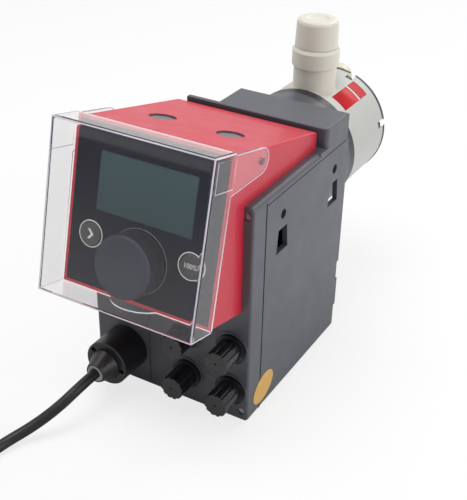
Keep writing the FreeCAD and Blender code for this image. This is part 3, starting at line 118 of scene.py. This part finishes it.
def add_noise(tree, places, scale, detail):
    noise = tree.nodes.new("ShaderNodeTexNoise")
    noise.inputs["Scale"].default_value = scale
    noise.inputs["Detail"].default_value = detail
    tree.links.new(places.outputs["Object"], noise.inputs["Vector"])
    return noise


def add_bump(tree, shader, scale, strength):
    """Raise the surface by fine noise, and give back the coordinates that the noise reads."""
    places = tree.nodes.new("ShaderNodeTexCoord")
    noise = add_noise(tree, places, scale, BUMP_DETAIL)
    bump = tree.nodes.new("ShaderNodeBump")
    bump.inputs["Strength"].default_value = strength
    bump.inputs["Distance"].default_value = BUMP_HEIGHT * MM
    tree.links.new(noise.outputs["Fac"], bump.inputs["Height"])
    tree.links.new(bump.outputs["Normal"], shader.inputs["Normal"])
    return places


def vary(tree, places, target, low, high, scale):
    """Drive a shader socket by slow noise between two values or colours."""
    noise = add_noise(tree, places, scale, PATCH_DETAIL)
    ramp = tree.nodes.new("ShaderNodeValToRGB")
    ramp.color_ramp.elements[0].position = 0.3
    ramp.color_ramp.elements[1].position = 0.7
    if isinstance(low, float):
        low, high = (low, low, low, 1), (high, high, high, 1)
    ramp.color_ramp.elements[0].color = low
    ramp.color_ramp.elements[1].color = high
    tree.links.new(noise.outputs["Fac"], ramp.inputs["Fac"])
    tree.links.new(ramp.outputs["Color"], target)


def plastic(name, colour, roughness=0.45, grain=900.0, bump=0.25, coat=0.0, shade=0.93, shine=0.5):
    """Moulded plastic with a fine spark-eroded grain and slight unevenness in colour and gloss."""
    material, tree, shader = new_material(name)
    places = add_bump(tree, shader, grain, bump)
    darker = (colour[0] * shade, colour[1] * shade, colour[2] * shade, 1)
    vary(tree, places, shader.inputs["Base Color"], darker, colour, COLOUR_SCALE)
    vary(tree, places, shader.inputs["Roughness"], roughness - 0.04, roughness + 0.05, GLOSS_SCALE)
    shader.inputs["Coat Weight"].default_value = coat
    shader.inputs["Specular IOR Level"].default_value = shine
    return material


def metal(name, colour, roughness=0.3):
    """Metal with a fine grain and slight unevenness in gloss."""
    material, tree, shader = new_material(name)
    places = add_bump(tree, shader, 700.0, 0.15)
    shader.inputs["Base Color"].default_value = colour
    shader.inputs["Metallic"].default_value = 1.0
    vary(tree, places, shader.inputs["Roughness"], roughness - 0.06, roughness + 0.08,
         METAL_GLOSS_SCALE)
    return material


def circuit_board(name):
    """A green board with lighter tracks in rows."""
    material, tree, shader = new_material(name)
    places = tree.nodes.new("ShaderNodeTexCoord")
    tracks = tree.nodes.new("ShaderNodeTexBrick")
    tracks.inputs["Color1"].default_value = srgb(18, 88, 46)
    tracks.inputs["Color2"].default_value = srgb(22, 100, 54)
    tracks.inputs["Mortar"].default_value = srgb(60, 140, 80)
    tracks.inputs["Scale"].default_value = 160.0
    tracks.inputs["Mortar Size"].default_value = 0.012
    tree.links.new(places.outputs["Object"], tracks.inputs["Vector"])
    tree.links.new(tracks.outputs["Color"], shader.inputs["Base Color"])
    shader.inputs["Roughness"].default_value = 0.35
    return material


def clear(name, colour):
    """Clear moulded plastic, with faint flow marks in its surface."""
    material, tree, shader = new_material(name)
    add_bump(tree, shader, 40.0, 0.02)
    shader.inputs["Base Color"].default_value = colour
    shader.inputs["Roughness"].default_value = 0.03
    shader.inputs["Transmission Weight"].default_value = 1.0
    shader.inputs["IOR"].default_value = 1.4
    shader.inputs["Specular IOR Level"].default_value = 0.06
    return material


def display_window(name):
    """A grey-green display behind its window, a little lighter towards the top."""
    material, tree, shader = new_material(name)
    places = tree.nodes.new("ShaderNodeTexCoord")
    split = tree.nodes.new("ShaderNodeSeparateXYZ")
    ramp = tree.nodes.new("ShaderNodeValToRGB")
    ramp.color_ramp.elements[0].color = srgb(44, 66, 71)
    ramp.color_ramp.elements[1].color = srgb(54, 77, 82)
    tree.links.new(places.outputs["Generated"], split.inputs["Vector"])
    tree.links.new(split.outputs["Z"], ramp.inputs["Fac"])
    tree.links.new(ramp.outputs["Color"], shader.inputs["Base Color"])
    shader.inputs["Roughness"].default_value = 0.35
    shader.inputs["Specular IOR Level"].default_value = 0.2
    return material


def add_maths(tree, kind, operation):
    node = tree.nodes.new(kind)
    node.operation = operation
    return node


def tint_necks(material, axis_y, radius, colour):
    """Give a material another tone near the valve axis, where the head's two necks are."""
    tree = material.node_tree
    base = tree.nodes["Principled BSDF"].inputs["Base Color"]
    body_colour = base.links[0].from_socket
    places = tree.nodes.new("ShaderNodeTexCoord")
    offset = add_maths(tree, "ShaderNodeVectorMath", "SUBTRACT")
    offset.inputs[1].default_value = (0, axis_y * MM, 0)
    across = add_maths(tree, "ShaderNodeVectorMath", "MULTIPLY")
    across.inputs[1].default_value = (1, 1, 0)
    distance = add_maths(tree, "ShaderNodeVectorMath", "LENGTH")
    inside = add_maths(tree, "ShaderNodeMath", "LESS_THAN")
    inside.inputs[1].default_value = radius * MM
    mix = tree.nodes.new("ShaderNodeMixRGB")
    mix.inputs["Color2"].default_value = colour
    tree.links.new(places.outputs["Object"], offset.inputs[0])
    tree.links.new(offset.outputs["Vector"], across.inputs[0])
    tree.links.new(across.outputs["Vector"], distance.inputs[0])
    tree.links.new(distance.outputs["Value"], inside.inputs[0])
    tree.links.new(inside.outputs["Value"], mix.inputs["Fac"])
    tree.links.new(body_colour, mix.inputs["Color1"])
    tree.links.new(mix.outputs["Color"], base)


HOUSING = plastic("housing_plastic", srgb(79, 81, 87), 0.42, 1400.0, 0.3)
FLANGE = plastic("flange_plastic", srgb(34, 34, 37), 0.4)
BLACK = plastic("black_plastic", srgb(24, 24, 28), 0.38, shine=0.4)
CAP = plastic("cap_plastic", srgb(21, 21, 25), 0.24, 900.0, 0.1)
PANEL = plastic("panel_plastic", srgb(10, 12, 30), 0.42, 1600.0, 0.05, shine=0.06)
# The wheel's rim plastic is much darker than its face's: painted shade on the knurled side.
WHEEL_RIM = plastic("wheel_rim_plastic", srgb(15, 13, 28), 0.35, 900.0, 0.1, shine=0.15)
WHEEL = plastic("wheel_plastic", srgb(54, 57, 70), 0.55, 260.0, 0.3, 0.0, 0.7, 0.15)
SEAM = plastic("seam_shadow", srgb(12, 12, 14), 0.8, shine=0.1)
RED = plastic("red_plastic", srgb(198, 32, 56), 0.4, 1100.0, 0.4, 0.1, 0.93, 0.4)
WHITE = plastic("white_plastic", srgb(219, 215, 201), 0.42, 1000.0, 0.2, 0.0, 0.96)
# The head's plastic is a darker, greyer copy of the white valve plastic: painted shade over the dosing head. Its two
# necks keep a tone close to the white plastic.
HEAD = plastic("head_plastic", srgb(186, 187, 181), 0.42, 1000.0, 0.2, 0.0, 0.96)
tint_necks(HEAD, 135.0, 16.5, srgb(218, 213, 199))
CREAM = plastic("cream_plastic", srgb(216, 208, 186), 0.4, 900.0, 0.2, 0.0, 0.95)
GREY = plastic("grey_plastic", srgb(104, 104, 108), 0.45)
BUTTON = plastic("button_plastic", srgb(58, 58, 62), 0.4)
SEAL = plastic("seal_rubber", srgb(165, 165, 166), 0.6)
SHEATH = plastic("sheath_rubber", srgb(14, 14, 17), 0.42, 700.0, 0.3, shine=0.35)
STEEL = metal("steel", srgb(176, 176, 180))
BLACK_STEEL = metal("blackened_steel", srgb(70, 70, 74), 0.4)
BRASS = metal("plated_pins", srgb(205, 190, 150), 0.22)
BRONZE = metal("bronze", srgb(170, 130, 80), 0.35)
ALUMINIUM = metal("cast_aluminium", srgb(180, 180, 184), 0.45)
BOARD = circuit_board("circuit_board")
GLAZING = clear("clear_plastic", (0.955, 0.95, 0.945, 1))
# A pale colour for the lid's edge tubes: a painted highlight on its rounded corners
EDGE_GLINT = plastic("painted_edge_highlight", srgb(222, 212, 228), 0.2, 300.0, 0.05, 0.4, 0.85)
DISPLAY = display_window("display_window")
MEMBRANE = plastic("membrane", srgb(200, 194, 180), 0.5)
CERAMIC = plastic("ceramic", srgb(232, 230, 224), 0.2)
PRINT = plastic("white_print", srgb(226, 224, 220), 0.5)
DIM_PRINT = plastic("dim_print", srgb(120, 118, 124), 0.5)
AMBER = plastic("amber_label", srgb(218, 170, 88), 0.35, shine=0.3)
SIGNAL_RED = plastic("red_label", srgb(206, 30, 36), 0.4, shine=0.3)

NODE_MATERIALS = {
    "front_cover": HOUSING, "main_housing": HOUSING, "rear_top_cover": HOUSING, "front_screws": STEEL,
    "signal_socket_1": BLACK, "signal_socket_2": BLACK, "signal_socket_3": BLACK, "signal_socket_4": BLACK,
    "socket_caps": CAP, "gland_body": BLACK, "gland_nut": BLACK, "gland_seal": SEAL, "mains_lead": SHEATH,
    "lead_coil": SHEATH, "plug_body": SHEATH, "plug_pins": BRASS, "cube_shell": RED, "cube_frame": RED,
    "display_panel": PANEL, "lcd_window": DISPLAY, "lcd_module": GREY, "control_board": BOARD,
    "encoder_body": BLACK, "top_plugs": GREY, "lid_hinge_pins": GREY, "diaphragm_flange": FLANGE,
    "diaphragm": MEMBRANE, "dosing_head": HEAD, "head_cover": FLANGE, "head_screws": BLACK,
    "discharge_valve_cartridge": WHITE, "discharge_union_nut": WHITE, "discharge_connection_cap": WHITE,
    "suction_valve_cartridge": WHITE, "suction_union_nut": WHITE, "suction_connection_cap": WHITE,
    "deaeration_nozzle": CREAM, "gearbox_frame": ALUMINIUM, "stepper_motor": BLACK_STEEL,
    "shaft_bearings": STEEL, "guide_bush": BRONZE, "power_board": BOARD, "transformer": BLACK_STEEL,
    "clear_lid": GLAZING, "wheel_plunger": GREY, "click_wheel": WHEEL, "wheel_spindle": STEEL,
    "start_stop_button": BUTTON, "full_flow_button": BUTTON, "motor_shaft": STEEL, "motor_pinion": STEEL,
    "eccentric_shaft": STEEL, "eccentric_bearing": STEEL, "drive_gear": WHITE, "push_rod": STEEL,
    "support_disc": STEEL, "deaeration_knob": CREAM, "discharge_ball": CERAMIC, "suction_ball": CERAMIC,
}
SOFT_EDGES = {
    "front_cover": 0.5, "main_housing": 0.5, "rear_top_cover": 0.6, "cube_shell": 0.5, "cube_frame": 0.6,
    "socket_caps": 0.25, "display_panel": 0.2, "diaphragm_flange": 0.6, "dosing_head": 0.6, "head_cover": 0.5,
    "discharge_union_nut": 0.4, "suction_union_nut": 0.4, "gland_body": 0.3, "gland_nut": 0.3, "top_plugs": 0.4,
}


def repaint(item, material):
    item.data.materials.clear()
    item.data.materials.append(material)


def soften(item, width):
    """Round the hard edges a little, so that they catch the light."""
    bevel = item.modifiers.new("soft_edges", "BEVEL")
    bevel.width = width * MM
    bevel.segments = 2
    bevel.limit_method = "ANGLE"
    bevel.angle_limit = math.radians(40)
    bevel.harden_normals = True


for node, material in NODE_MATERIALS.items():
    repaint(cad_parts[node], material)
for node, width in SOFT_EDGES.items():
    soften(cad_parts[node], width)
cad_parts["clear_lid"].visible_shadow = False


# Mesh helpers. Their sizes are in millimetres, and the finished pieces are in metres.
def add_piece(name, mesh, material, body, matrix=None, smooth=True):
    for polygon in mesh.polygons:
        polygon.use_smooth = smooth
    piece = place_object(name, mesh)
    mesh.materials.append(material)
    if matrix is not None:
        piece.matrix_world = matrix
    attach(piece, body)
    return piece


def mesh_from(name, points, faces):
    """A mesh from points in millimetres, with its faces turned outward."""
    mesh = bpy.data.meshes.new(name)
    mesh.from_pydata([[value * MM for value in point] for point in points], [], faces)
    work = bmesh.new()
    work.from_mesh(mesh)
    bmesh.ops.recalc_face_normals(work, faces=work.faces)
    work.to_mesh(mesh)
    work.free()
    return mesh


def turned(name, profile, steps=96, wave=None):
    """A closed mesh turned about the local Y axis from (radius, along) points.
    wave(index, angle) gives a change of radius at a profile point."""
    points, faces = [], []
    rings = []
    for index, (radius, along) in enumerate(profile):
        if radius < 1e-6:
            rings.append([len(points)])
            points.append((0, along, 0))
            continue
        ring = []
        for step in range(steps):
            angle = FULL_TURN * step / steps
            reach = radius + (wave(index, angle) if wave else 0)
            ring.append(len(points))
            points.append((reach * math.cos(angle), along, reach * math.sin(angle)))
        rings.append(ring)
    for first, second in zip(rings, rings[1:]):
        for step in range(steps):
            following = (step + 1) % steps
            corners = [first[step % len(first)], first[following % len(first)],
                       second[following % len(second)], second[step % len(second)]]
            unique = list(dict.fromkeys(corners))
            if len(unique) > 2:
                faces.append(unique)
    return mesh_from(name, points, faces)


def ring_mesh(name, inner, outer, front, back):
    """A closed flat ring about the local Y axis, with a slightly crowned front."""
    middle = (inner + outer) / 2
    shoulder = front + 0.06
    profile = [(inner, back), (inner, shoulder), (middle, front), (outer, shoulder), (outer, back), (inner, back)]
    return turned(name, profile)


# The mains lead, from the gland through its coil to the plug
LEAD_ROUTE = [
    (-35.3, -100.5, 26.4), (-35.3, -116.5, 26.4), (-40.5, -133.2, 18.4), (-49.9, -148.5, 9.2),
    (-59.0, -165.6, 4.2), (-61.9, -185.2, 3.9)]
TAIL_ROUTE = [(-138.9, -202.2, 37.1), (-138.9, -188.2, 33.87)]
PLUG_LEAN = math.radians(13.0)
COIL_CENTRE = (-104.9, -198.2)
COIL_START = -10.0
COIL_TURNS = 6.4
POINTS_PER_TURN = 24
LEAD_DIAMETER = 7.2
# Turns so far, radius of the turn and height of the lead's middle, from the floor to the top
COIL_STAGES = [(0.0, 43.3, 3.75), (1.7, 31.0, 3.75), (2.2, 30.0, 11.1), (3.75, 41.9, 11.1), (4.25, 42.4, 18.4),
               (5.45, 30.0, 18.4), (6.0, 30.0, 25.5), (6.4, 35.0, 36.0)]


def coil_points():
    """Turns that wind inward on the floor, then outward on top of these, then inward again and up to the plug."""
    points = []
    count = round(COIL_TURNS * POINTS_PER_TURN)
    for index in range(count + 1):
        turn = COIL_TURNS * index / count
        for (start, near, low), (end, far, high) in zip(COIL_STAGES, COIL_STAGES[1:]):
            if start <= turn <= end:
                share = (turn - start) / (end - start)
                radius = near + (far - near) * share
                height = low + (high - low) * share * share * (3 - 2 * share)
        angle = math.radians(COIL_START - 360 * turn)
        points.append((COIL_CENTRE[0] + radius * math.cos(angle), COIL_CENTRE[1] + radius * math.sin(angle), height))
    return points


curve = bpy.data.curves.new("mains_cable", "CURVE")
curve.dimensions = "3D"
curve.bevel_depth = LEAD_DIAMETER / 2 * MM
curve.bevel_resolution = 8
curve.use_fill_caps = True
spline = curve.splines.new("NURBS")
route = LEAD_ROUTE + coil_points() + TAIL_ROUTE
spline.points.add(len(route) - 1)
for point, place in zip(spline.points, route):
    point.co = (place[0] * MM, place[1] * MM, place[2] * MM, 1)
spline.order_u = 3
spline.use_endpoint_u = True
spline.resolution_u = 8
curve.materials.append(SHEATH)
cable = place_object("mains_cable", curve)
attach(cable, "housing")
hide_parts("mains_lead", "lead_coil")


# The plug, with a ribbed strain relief and grip hollows
RIB_PITCH = 3.3
RIBS_END = 27.0
TAPER_LENGTH = 29.0
GRIP_DEPTH = 0.7
# The profile's first point on the plug's wide body, after the ribs and the shoulder
GRIP_START = 37


def plug_profile():
    """The plug's (radius, along) points: ribs that widen along the taper, then the shoulder and the body."""
    profile = [(0, 0), (4.7, 0)]
    along = 1.0
    while along < RIBS_END:
        grow = along / TAPER_LENGTH
        crest = 4.8 + 2 * grow
        groove = 4.0 + 1.6 * grow
        profile += [(crest, along), (crest, along + 1.8), (groove, along + 2.1), (groove, along + 3.0)]
        along += RIB_PITCH
    profile += [(7.2, 28.5), (8.6, 31.0), (11.2, 34.0), (14.6, 38.0), (16.9, 43.0), (18.0, 49.0), (18.45, 55.0),
                (18.45, 68.6), (17.6, 69.7), (16.6, 70.0), (0, 70.0)]
    return profile


def plug_grip(index, angle):
    return -GRIP_DEPTH * abs(math.cos(angle)) ** 3 if index >= GRIP_START else 0.0


plug_mesh = turned("plug_cover", plug_profile(), 96, plug_grip)
plug = add_piece("plug_cover", plug_mesh, SHEATH, "housing",
                 Matrix.Translation(Vector(TAIL_ROUTE[-1]) * MM) @ Matrix.Rotation(-PLUG_LEAN, 4, "X"))
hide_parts("plug_body")


# The click wheel, with a finely diamond-knurled rim and a dished face
RIM_RADIUS = 20.0
RIM_FRONT, RIM_BACK = -16.2, -3.2
KNURLS = 66
KNURL_RINGS = 30
KNURL_DEPTH = 0.6
KNURL_SLOPE = 0.8
STEPS_PER_KNURL = 8
rim_steps = [RIM_FRONT + (RIM_BACK - RIM_FRONT) * step / (KNURL_RINGS - 1) for step in range(KNURL_RINGS)]
wheel_profile = [(0, -16.3), (11.0, -16.5), (17.6, -17.3), (19.4, -17.1)]
first_rim = len(wheel_profile)
wheel_profile += [(RIM_RADIUS, along) for along in rim_steps]
wheel_profile += [(19.6, -2.2), (19.0, -1.9), (17.0, -1.9), (17.0, -13.0), (0, -13.0)]


def knurl(index, angle):
    """Two crossing sets of grooves on the rim."""
    if not first_rim <= index < first_rim + KNURL_RINGS:
        return 0.0
    slope = rim_steps[index - first_rim] * KNURLS / RIM_RADIUS * KNURL_SLOPE
    crossing = abs(math.sin((angle * KNURLS + slope) / 2)) * abs(math.sin((angle * KNURLS - slope) / 2))
    return -KNURL_DEPTH * (1 - crossing)


wheel_mesh = turned("wheel_cover", wheel_profile, KNURLS * STEPS_PER_KNURL, knurl)
wheel = add_piece("wheel_cover", wheel_mesh, WHEEL, "wheel", display_matrix(0, 0, WHEEL_UP))
# The rim's faces take the darker rim plastic: painted shade on the wheel's side.
wheel_mesh.materials.append(WHEEL_RIM)
for polygon in wheel_mesh.polygons:
    from_axis = math.hypot(polygon.center.x, polygon.center.z)
    if from_axis > (RIM_RADIUS - 0.8) * MM and polygon.center.y > RIM_FRONT * MM:
        polygon.material_index = 1
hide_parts("click_wheel")

# Light rings printed round the wheel and the buttons
RING_PLACES = (
    ("wheel_ring", 0, WHEEL_UP, 20.1, 20.5, DIM_PRINT),
    ("start_ring", -BUTTON_X, BUTTON_UP, 8.1, 8.75, PRINT),
    ("full_flow_ring", BUTTON_X, BUTTON_UP, 8.1, 8.75, PRINT))
for name, x, up, inner, outer, finish in RING_PLACES:
    ring = add_piece(name, ring_mesh(name, inner, outer, -0.18, 0.0), finish, "housing", display_matrix(x, 0, up))


# A small dimple in the middle of each socket cap, drawn as a dark disc: painted shade in the dimple
DIMPLE_PROFILE = [(0, -0.02), (0.6, -0.05), (0.8, 0), (0.8, 0.2), (0, 0.2)]
caps_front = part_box("socket_caps")[0][1]
for number in range(1, 5):
    low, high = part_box(f"signal_socket_{number}")
    place = Matrix.Translation(Vector(((low[0] + high[0]) / 2, caps_front, (low[2] + high[2]) / 2)))
    dimple_mesh = turned(f"cap_dimple_{number}", DIMPLE_PROFILE, 32)
    dimple = add_piece(f"cap_dimple_{number}", dimple_mesh, SEAM, "housing", place)

# Black rings round the two plugs in the top of the cube: painted shade in the gap round each plug
TOP_PLUG_X, TOP_PLUG_BACK, TOP_PLUG_UP = 24.5, 47.4, 104.4
for number, x in enumerate((-TOP_PLUG_X, TOP_PLUG_X), 1):
    place = display_matrix(x, TOP_PLUG_BACK, TOP_PLUG_UP) @ Matrix.Rotation(QUARTER_TURN, 4, "X")
    gap_shade_mesh = ring_mesh(f"top_plug_gap_shade_{number}", 7.9, 8.6, 0.7, 0.0)
    gap_shade_ring = add_piece(f"top_plug_gap_shade_{number}", gap_shade_mesh, BLACK, "housing", place)


# Painted highlights along the edges of the clear lid: pale tubes that stand for the light its rounded corners catch
LID_SIDE, LID_FRONT, LID_LOW, LID_HIGH, LID_BACK = 54.8, -22.6, -0.4, 107.1, -0.6
BAND_SIDE, BAND_FRONT, BAND_LOW, BAND_HIGH = 55.9, -20.2, 87.2, 104.6
EAR_SIDE, EAR_BACK, EAR_UP, EAR_RADIUS, EAR_LOW = 55.45, 32.3, 98.4, 8.0, 82.9
EAR_FIRST_ANGLE, EAR_LAST_ANGLE, EAR_STEPS = -76, 90, 12


def edge_lines(name, runs, radius, closed=False):
    """Thin tubes with a painted highlight along runs of (x, back, up) points of the display's own frame."""
    lines = bpy.data.curves.new(name, "CURVE")
    lines.dimensions = "3D"
    lines.bevel_depth = radius * MM
    lines.bevel_resolution = 3
    lines.use_fill_caps = True
    for run in runs:
        line = lines.splines.new("POLY")
        line.points.add(len(run) - 1)
        for point, place in zip(line.points, run):
            point.co = (place[0] * MM, place[1] * MM, place[2] * MM, 1)
        line.use_cyclic_u = closed
    lines.materials.append(EDGE_GLINT)
    piece = place_object(name, lines)
    piece.matrix_world = display_matrix(0, 0, 0)
    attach(piece, "lid")


lid_corners = [(-LID_SIDE, LID_LOW), (LID_SIDE, LID_LOW), (LID_SIDE, LID_HIGH), (-LID_SIDE, LID_HIGH)]
edge_lines("lid_front_edge", [[(x, LID_FRONT, up) for x, up in lid_corners]], 0.66, True)
edge_lines("lid_long_edges", [[(x, LID_FRONT, up), (x, LID_BACK, up)] for x, up in lid_corners], 0.6)
band_points = [(BAND_FRONT, BAND_HIGH), (BAND_FRONT, BAND_LOW), (LID_BACK, BAND_LOW)]
edge_lines("lid_band_edges", [[(x, back, up) for back, up in band_points] for x in (-BAND_SIDE, BAND_SIDE)], 0.3)
ear_points = [(LID_BACK, EAR_LOW)]
for step in range(EAR_STEPS + 1):
    angle = math.radians(EAR_FIRST_ANGLE + (EAR_LAST_ANGLE - EAR_FIRST_ANGLE) * step / EAR_STEPS)
    ear_points.append((EAR_BACK + EAR_RADIUS * math.cos(angle), EAR_UP + EAR_RADIUS * math.sin(angle)))
ear_points.append((LID_BACK, EAR_UP + EAR_RADIUS))
edge_lines("lid_ear_edges", [[(x, back, up) for back, up in ear_points] for x in (-EAR_SIDE, EAR_SIDE)], 0.28)


# Plain marks on the buttons: an arrow head, and a round number
def plate(name, outline, thickness):
    """A thin closed plate in the local XZ plane, its front at -thickness."""
    count = len(outline)
    points = [(x, 0, z) for x, z in outline] + [(x, -thickness, z) for x, z in outline]
    faces = [list(range(count)), list(range(count, 2 * count))]
    faces += [[step, (step + 1) % count, count + (step + 1) % count, count + step] for step in range(count)]
    return mesh_from(name, points, faces)


ARROW_HEAD = [(-2.2, -3.2), (-0.4, -3.2), (2.4, 0), (-0.4, 3.2), (-2.2, 3.2), (0.4, 0)]
start_mark = add_piece("start_mark", plate("start_mark", ARROW_HEAD, 0.08), PRINT, "start_button",
                       display_matrix(-BUTTON_X, -0.6, BUTTON_UP), False)
label = bpy.data.curves.new("full_flow_mark", "FONT")
label.body = "100%"
label.size = 4.3 * MM
label.extrude = 0.05 * MM
label.align_x = "CENTER"
label.align_y = "CENTER"
label.materials.append(PRINT)
full_flow_mark = place_object("full_flow_mark", label)
full_flow_mark.matrix_world = display_matrix(BUTTON_X, -0.62, BUTTON_UP) @ Matrix.Rotation(QUARTER_TURN, 4, "X")
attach(full_flow_mark, "full_flow")


# Seam lines in the housing's sides, drawn as dark strips of painted shadow, and plain labels where the housing and
# the head carry theirs
SIDE_X = 60.0
SEAM_Y = -49.0
SEAM_HALF, SEAM_LOW, SEAM_HIGH = 0.55, 1.2, 156.5
LABEL_RADIUS, LABEL_THICKNESS = 44.0, 0.15
LABEL_ANGLES = (46, 65)


def ellipse(half_length, half_height, lean, steps=64):
    """Outline points of an ellipse that leans by an angle."""
    points = []
    for step in range(steps):
        angle = FULL_TURN * step / steps
        x, z = half_length * math.cos(angle), half_height * math.sin(angle)
        points.append((x * math.cos(lean) - z * math.sin(lean), x * math.sin(lean) + z * math.cos(lean)))
    return points


seam_outline = [(-SEAM_HALF, SEAM_LOW), (SEAM_HALF, SEAM_LOW), (SEAM_HALF, SEAM_HIGH), (-SEAM_HALF, SEAM_HIGH)]
for side_name, side in (("right", 1), ("left", -1)):
    place = Matrix.Translation(Vector((side * SIDE_X, SEAM_Y, 0)) * MM) @ Matrix.Rotation(side * QUARTER_TURN, 4, "Z")
    seam_mesh = plate(f"seam_line_{side_name}", seam_outline, 0.06)
    seam = add_piece(f"seam_line_{side_name}", seam_mesh, SEAM, "housing", place, False)
oval_place = Matrix.Translation(Vector((SIDE_X, -44.0, 15.8)) * MM) @ Matrix.Rotation(QUARTER_TURN, 4, "Z")
oval_mesh = plate("side_label", ellipse(13.6, 10.0, 0.35), LABEL_THICKNESS)
oval = add_piece("side_label", oval_mesh, AMBER, "housing", oval_place, False)


def wrapped_patch(name, radius, near_y, far_y, thickness, steps=24):
    """A thin closed patch bent round the head's own axis. Its angles run from +X towards +Z."""
    low_angle, high_angle = LABEL_ANGLES
    points, faces = [], []
    for step in range(steps + 1):
        angle = math.radians(low_angle + (high_angle - low_angle) * step / steps)
        for reach in (radius, radius + thickness):
            for y in (near_y, far_y):
                points.append((reach * math.cos(angle), y, HEAD_Z + reach * math.sin(angle)))
    for step in range(steps):
        a = step * 4
        b = a + 4
        faces += [[a, a + 1, b + 1, b], [a + 2, a + 3, b + 3, b + 2]]
        faces += [[a, a + 2, b + 2, b], [a + 1, a + 3, b + 3, b + 1]]
    last = steps * 4
    faces += [[0, 1, 3, 2], [last, last + 1, last + 3, last + 2]]
    return mesh_from(name, points, faces)


head_label_mesh = wrapped_patch("head_label", LABEL_RADIUS, 128, 167, LABEL_THICKNESS)
head_label = add_piece("head_label", head_label_mesh, SIGNAL_RED, "housing")
stripe_mesh = wrapped_patch("head_label_stripe", LABEL_RADIUS + LABEL_THICKNESS, 152.4, 154.6, 0.08)
stripe = add_piece("head_label_stripe", stripe_mesh, PRINT, "housing")


# Floor, light and background
FLOOR_REACH = 4000
FLOOR_WHITE_SHARE = 0.75
LIGHT_TARGET = (0, 0, 0.1)


def white_to_camera(tree, colour_output, target):
    """Show the sky white to the camera, in gloss and through glass, and let it light the rest by its own colour."""
    path = tree.nodes.new("ShaderNodeLightPath")
    first = add_maths(tree, "ShaderNodeMath", "MAXIMUM")
    second = add_maths(tree, "ShaderNodeMath", "MAXIMUM")
    tree.links.new(path.outputs["Is Camera Ray"], first.inputs[0])
    tree.links.new(path.outputs["Is Glossy Ray"], first.inputs[1])
    tree.links.new(first.outputs[0], second.inputs[0])
    tree.links.new(path.outputs["Is Transmission Ray"], second.inputs[1])
    white = tree.nodes.new("ShaderNodeBackground")
    white.inputs["Color"].default_value = (1, 1, 1, 1)
    mix = tree.nodes.new("ShaderNodeMixShader")
    tree.links.new(second.outputs[0], mix.inputs["Fac"])
    tree.links.new(colour_output, mix.inputs[1])
    tree.links.new(white.outputs["Background"], mix.inputs[2])
    tree.links.new(mix.outputs["Shader"], target)


world = bpy.data.worlds.new("studio")
bpy.context.scene.world = world
world.use_nodes = True
sky = world.node_tree.nodes["Background"]
sky.inputs["Color"].default_value = (0.96, 0.97, 1.0, 1)
sky.inputs["Strength"].default_value = 0.4
world_output = world.node_tree.nodes["World Output"]
white_to_camera(world.node_tree, sky.outputs["Background"], world_output.inputs["Surface"])

floor_corners = [(x * FLOOR_REACH, y * FLOOR_REACH, 0) for x, y in ((-1, -1), (1, -1), (1, 1), (-1, 1))]
floor_mesh = mesh_from("floor", floor_corners, [[0, 1, 2, 3]])
floor = place_object("floor", floor_mesh)
floor_material, floor_tree, floor_shader = new_material("floor")
floor_shader.inputs["Base Color"].default_value = (0.93, 0.93, 0.94, 1)
floor_shader.inputs["Roughness"].default_value = 0.9
floor_path = floor_tree.nodes.new("ShaderNodeLightPath")
floor_share = add_maths(floor_tree, "ShaderNodeMath", "MULTIPLY")
floor_share.inputs[1].default_value = FLOOR_WHITE_SHARE
floor_tree.links.new(floor_path.outputs["Is Camera Ray"], floor_share.inputs[0])
floor_white = floor_tree.nodes.new("ShaderNodeEmission")
floor_mix = floor_tree.nodes.new("ShaderNodeMixShader")
floor_tree.links.new(floor_share.outputs[0], floor_mix.inputs["Fac"])
floor_tree.links.new(floor_shader.outputs["BSDF"], floor_mix.inputs[1])
floor_tree.links.new(floor_white.outputs["Emission"], floor_mix.inputs[2])
floor_tree.links.new(floor_mix.outputs["Shader"], floor_tree.nodes["Material Output"].inputs["Surface"])
floor_mesh.materials.append(floor_material)


def area_light(name, place, size, power):
    """A square lamp aimed at the pump, with its place and size in metres."""
    data = bpy.data.lights.new(name, "AREA")
    data.energy = power
    data.size = size
    lamp = place_object(name, data)
    lamp.visible_transmission = False
    lamp.location = place
    lamp.rotation_euler = (Vector(LIGHT_TARGET) - Vector(place)).to_track_quat("-Z", "Y").to_euler()


area_light("key", (-0.3, -0.15, 1.5), 0.9, 12.5)
area_light("side", (1.3, 0.15, 0.6), 0.8, 6.6)
area_light("back", (0.2, 1.2, 1.0), 0.8, 5.0)
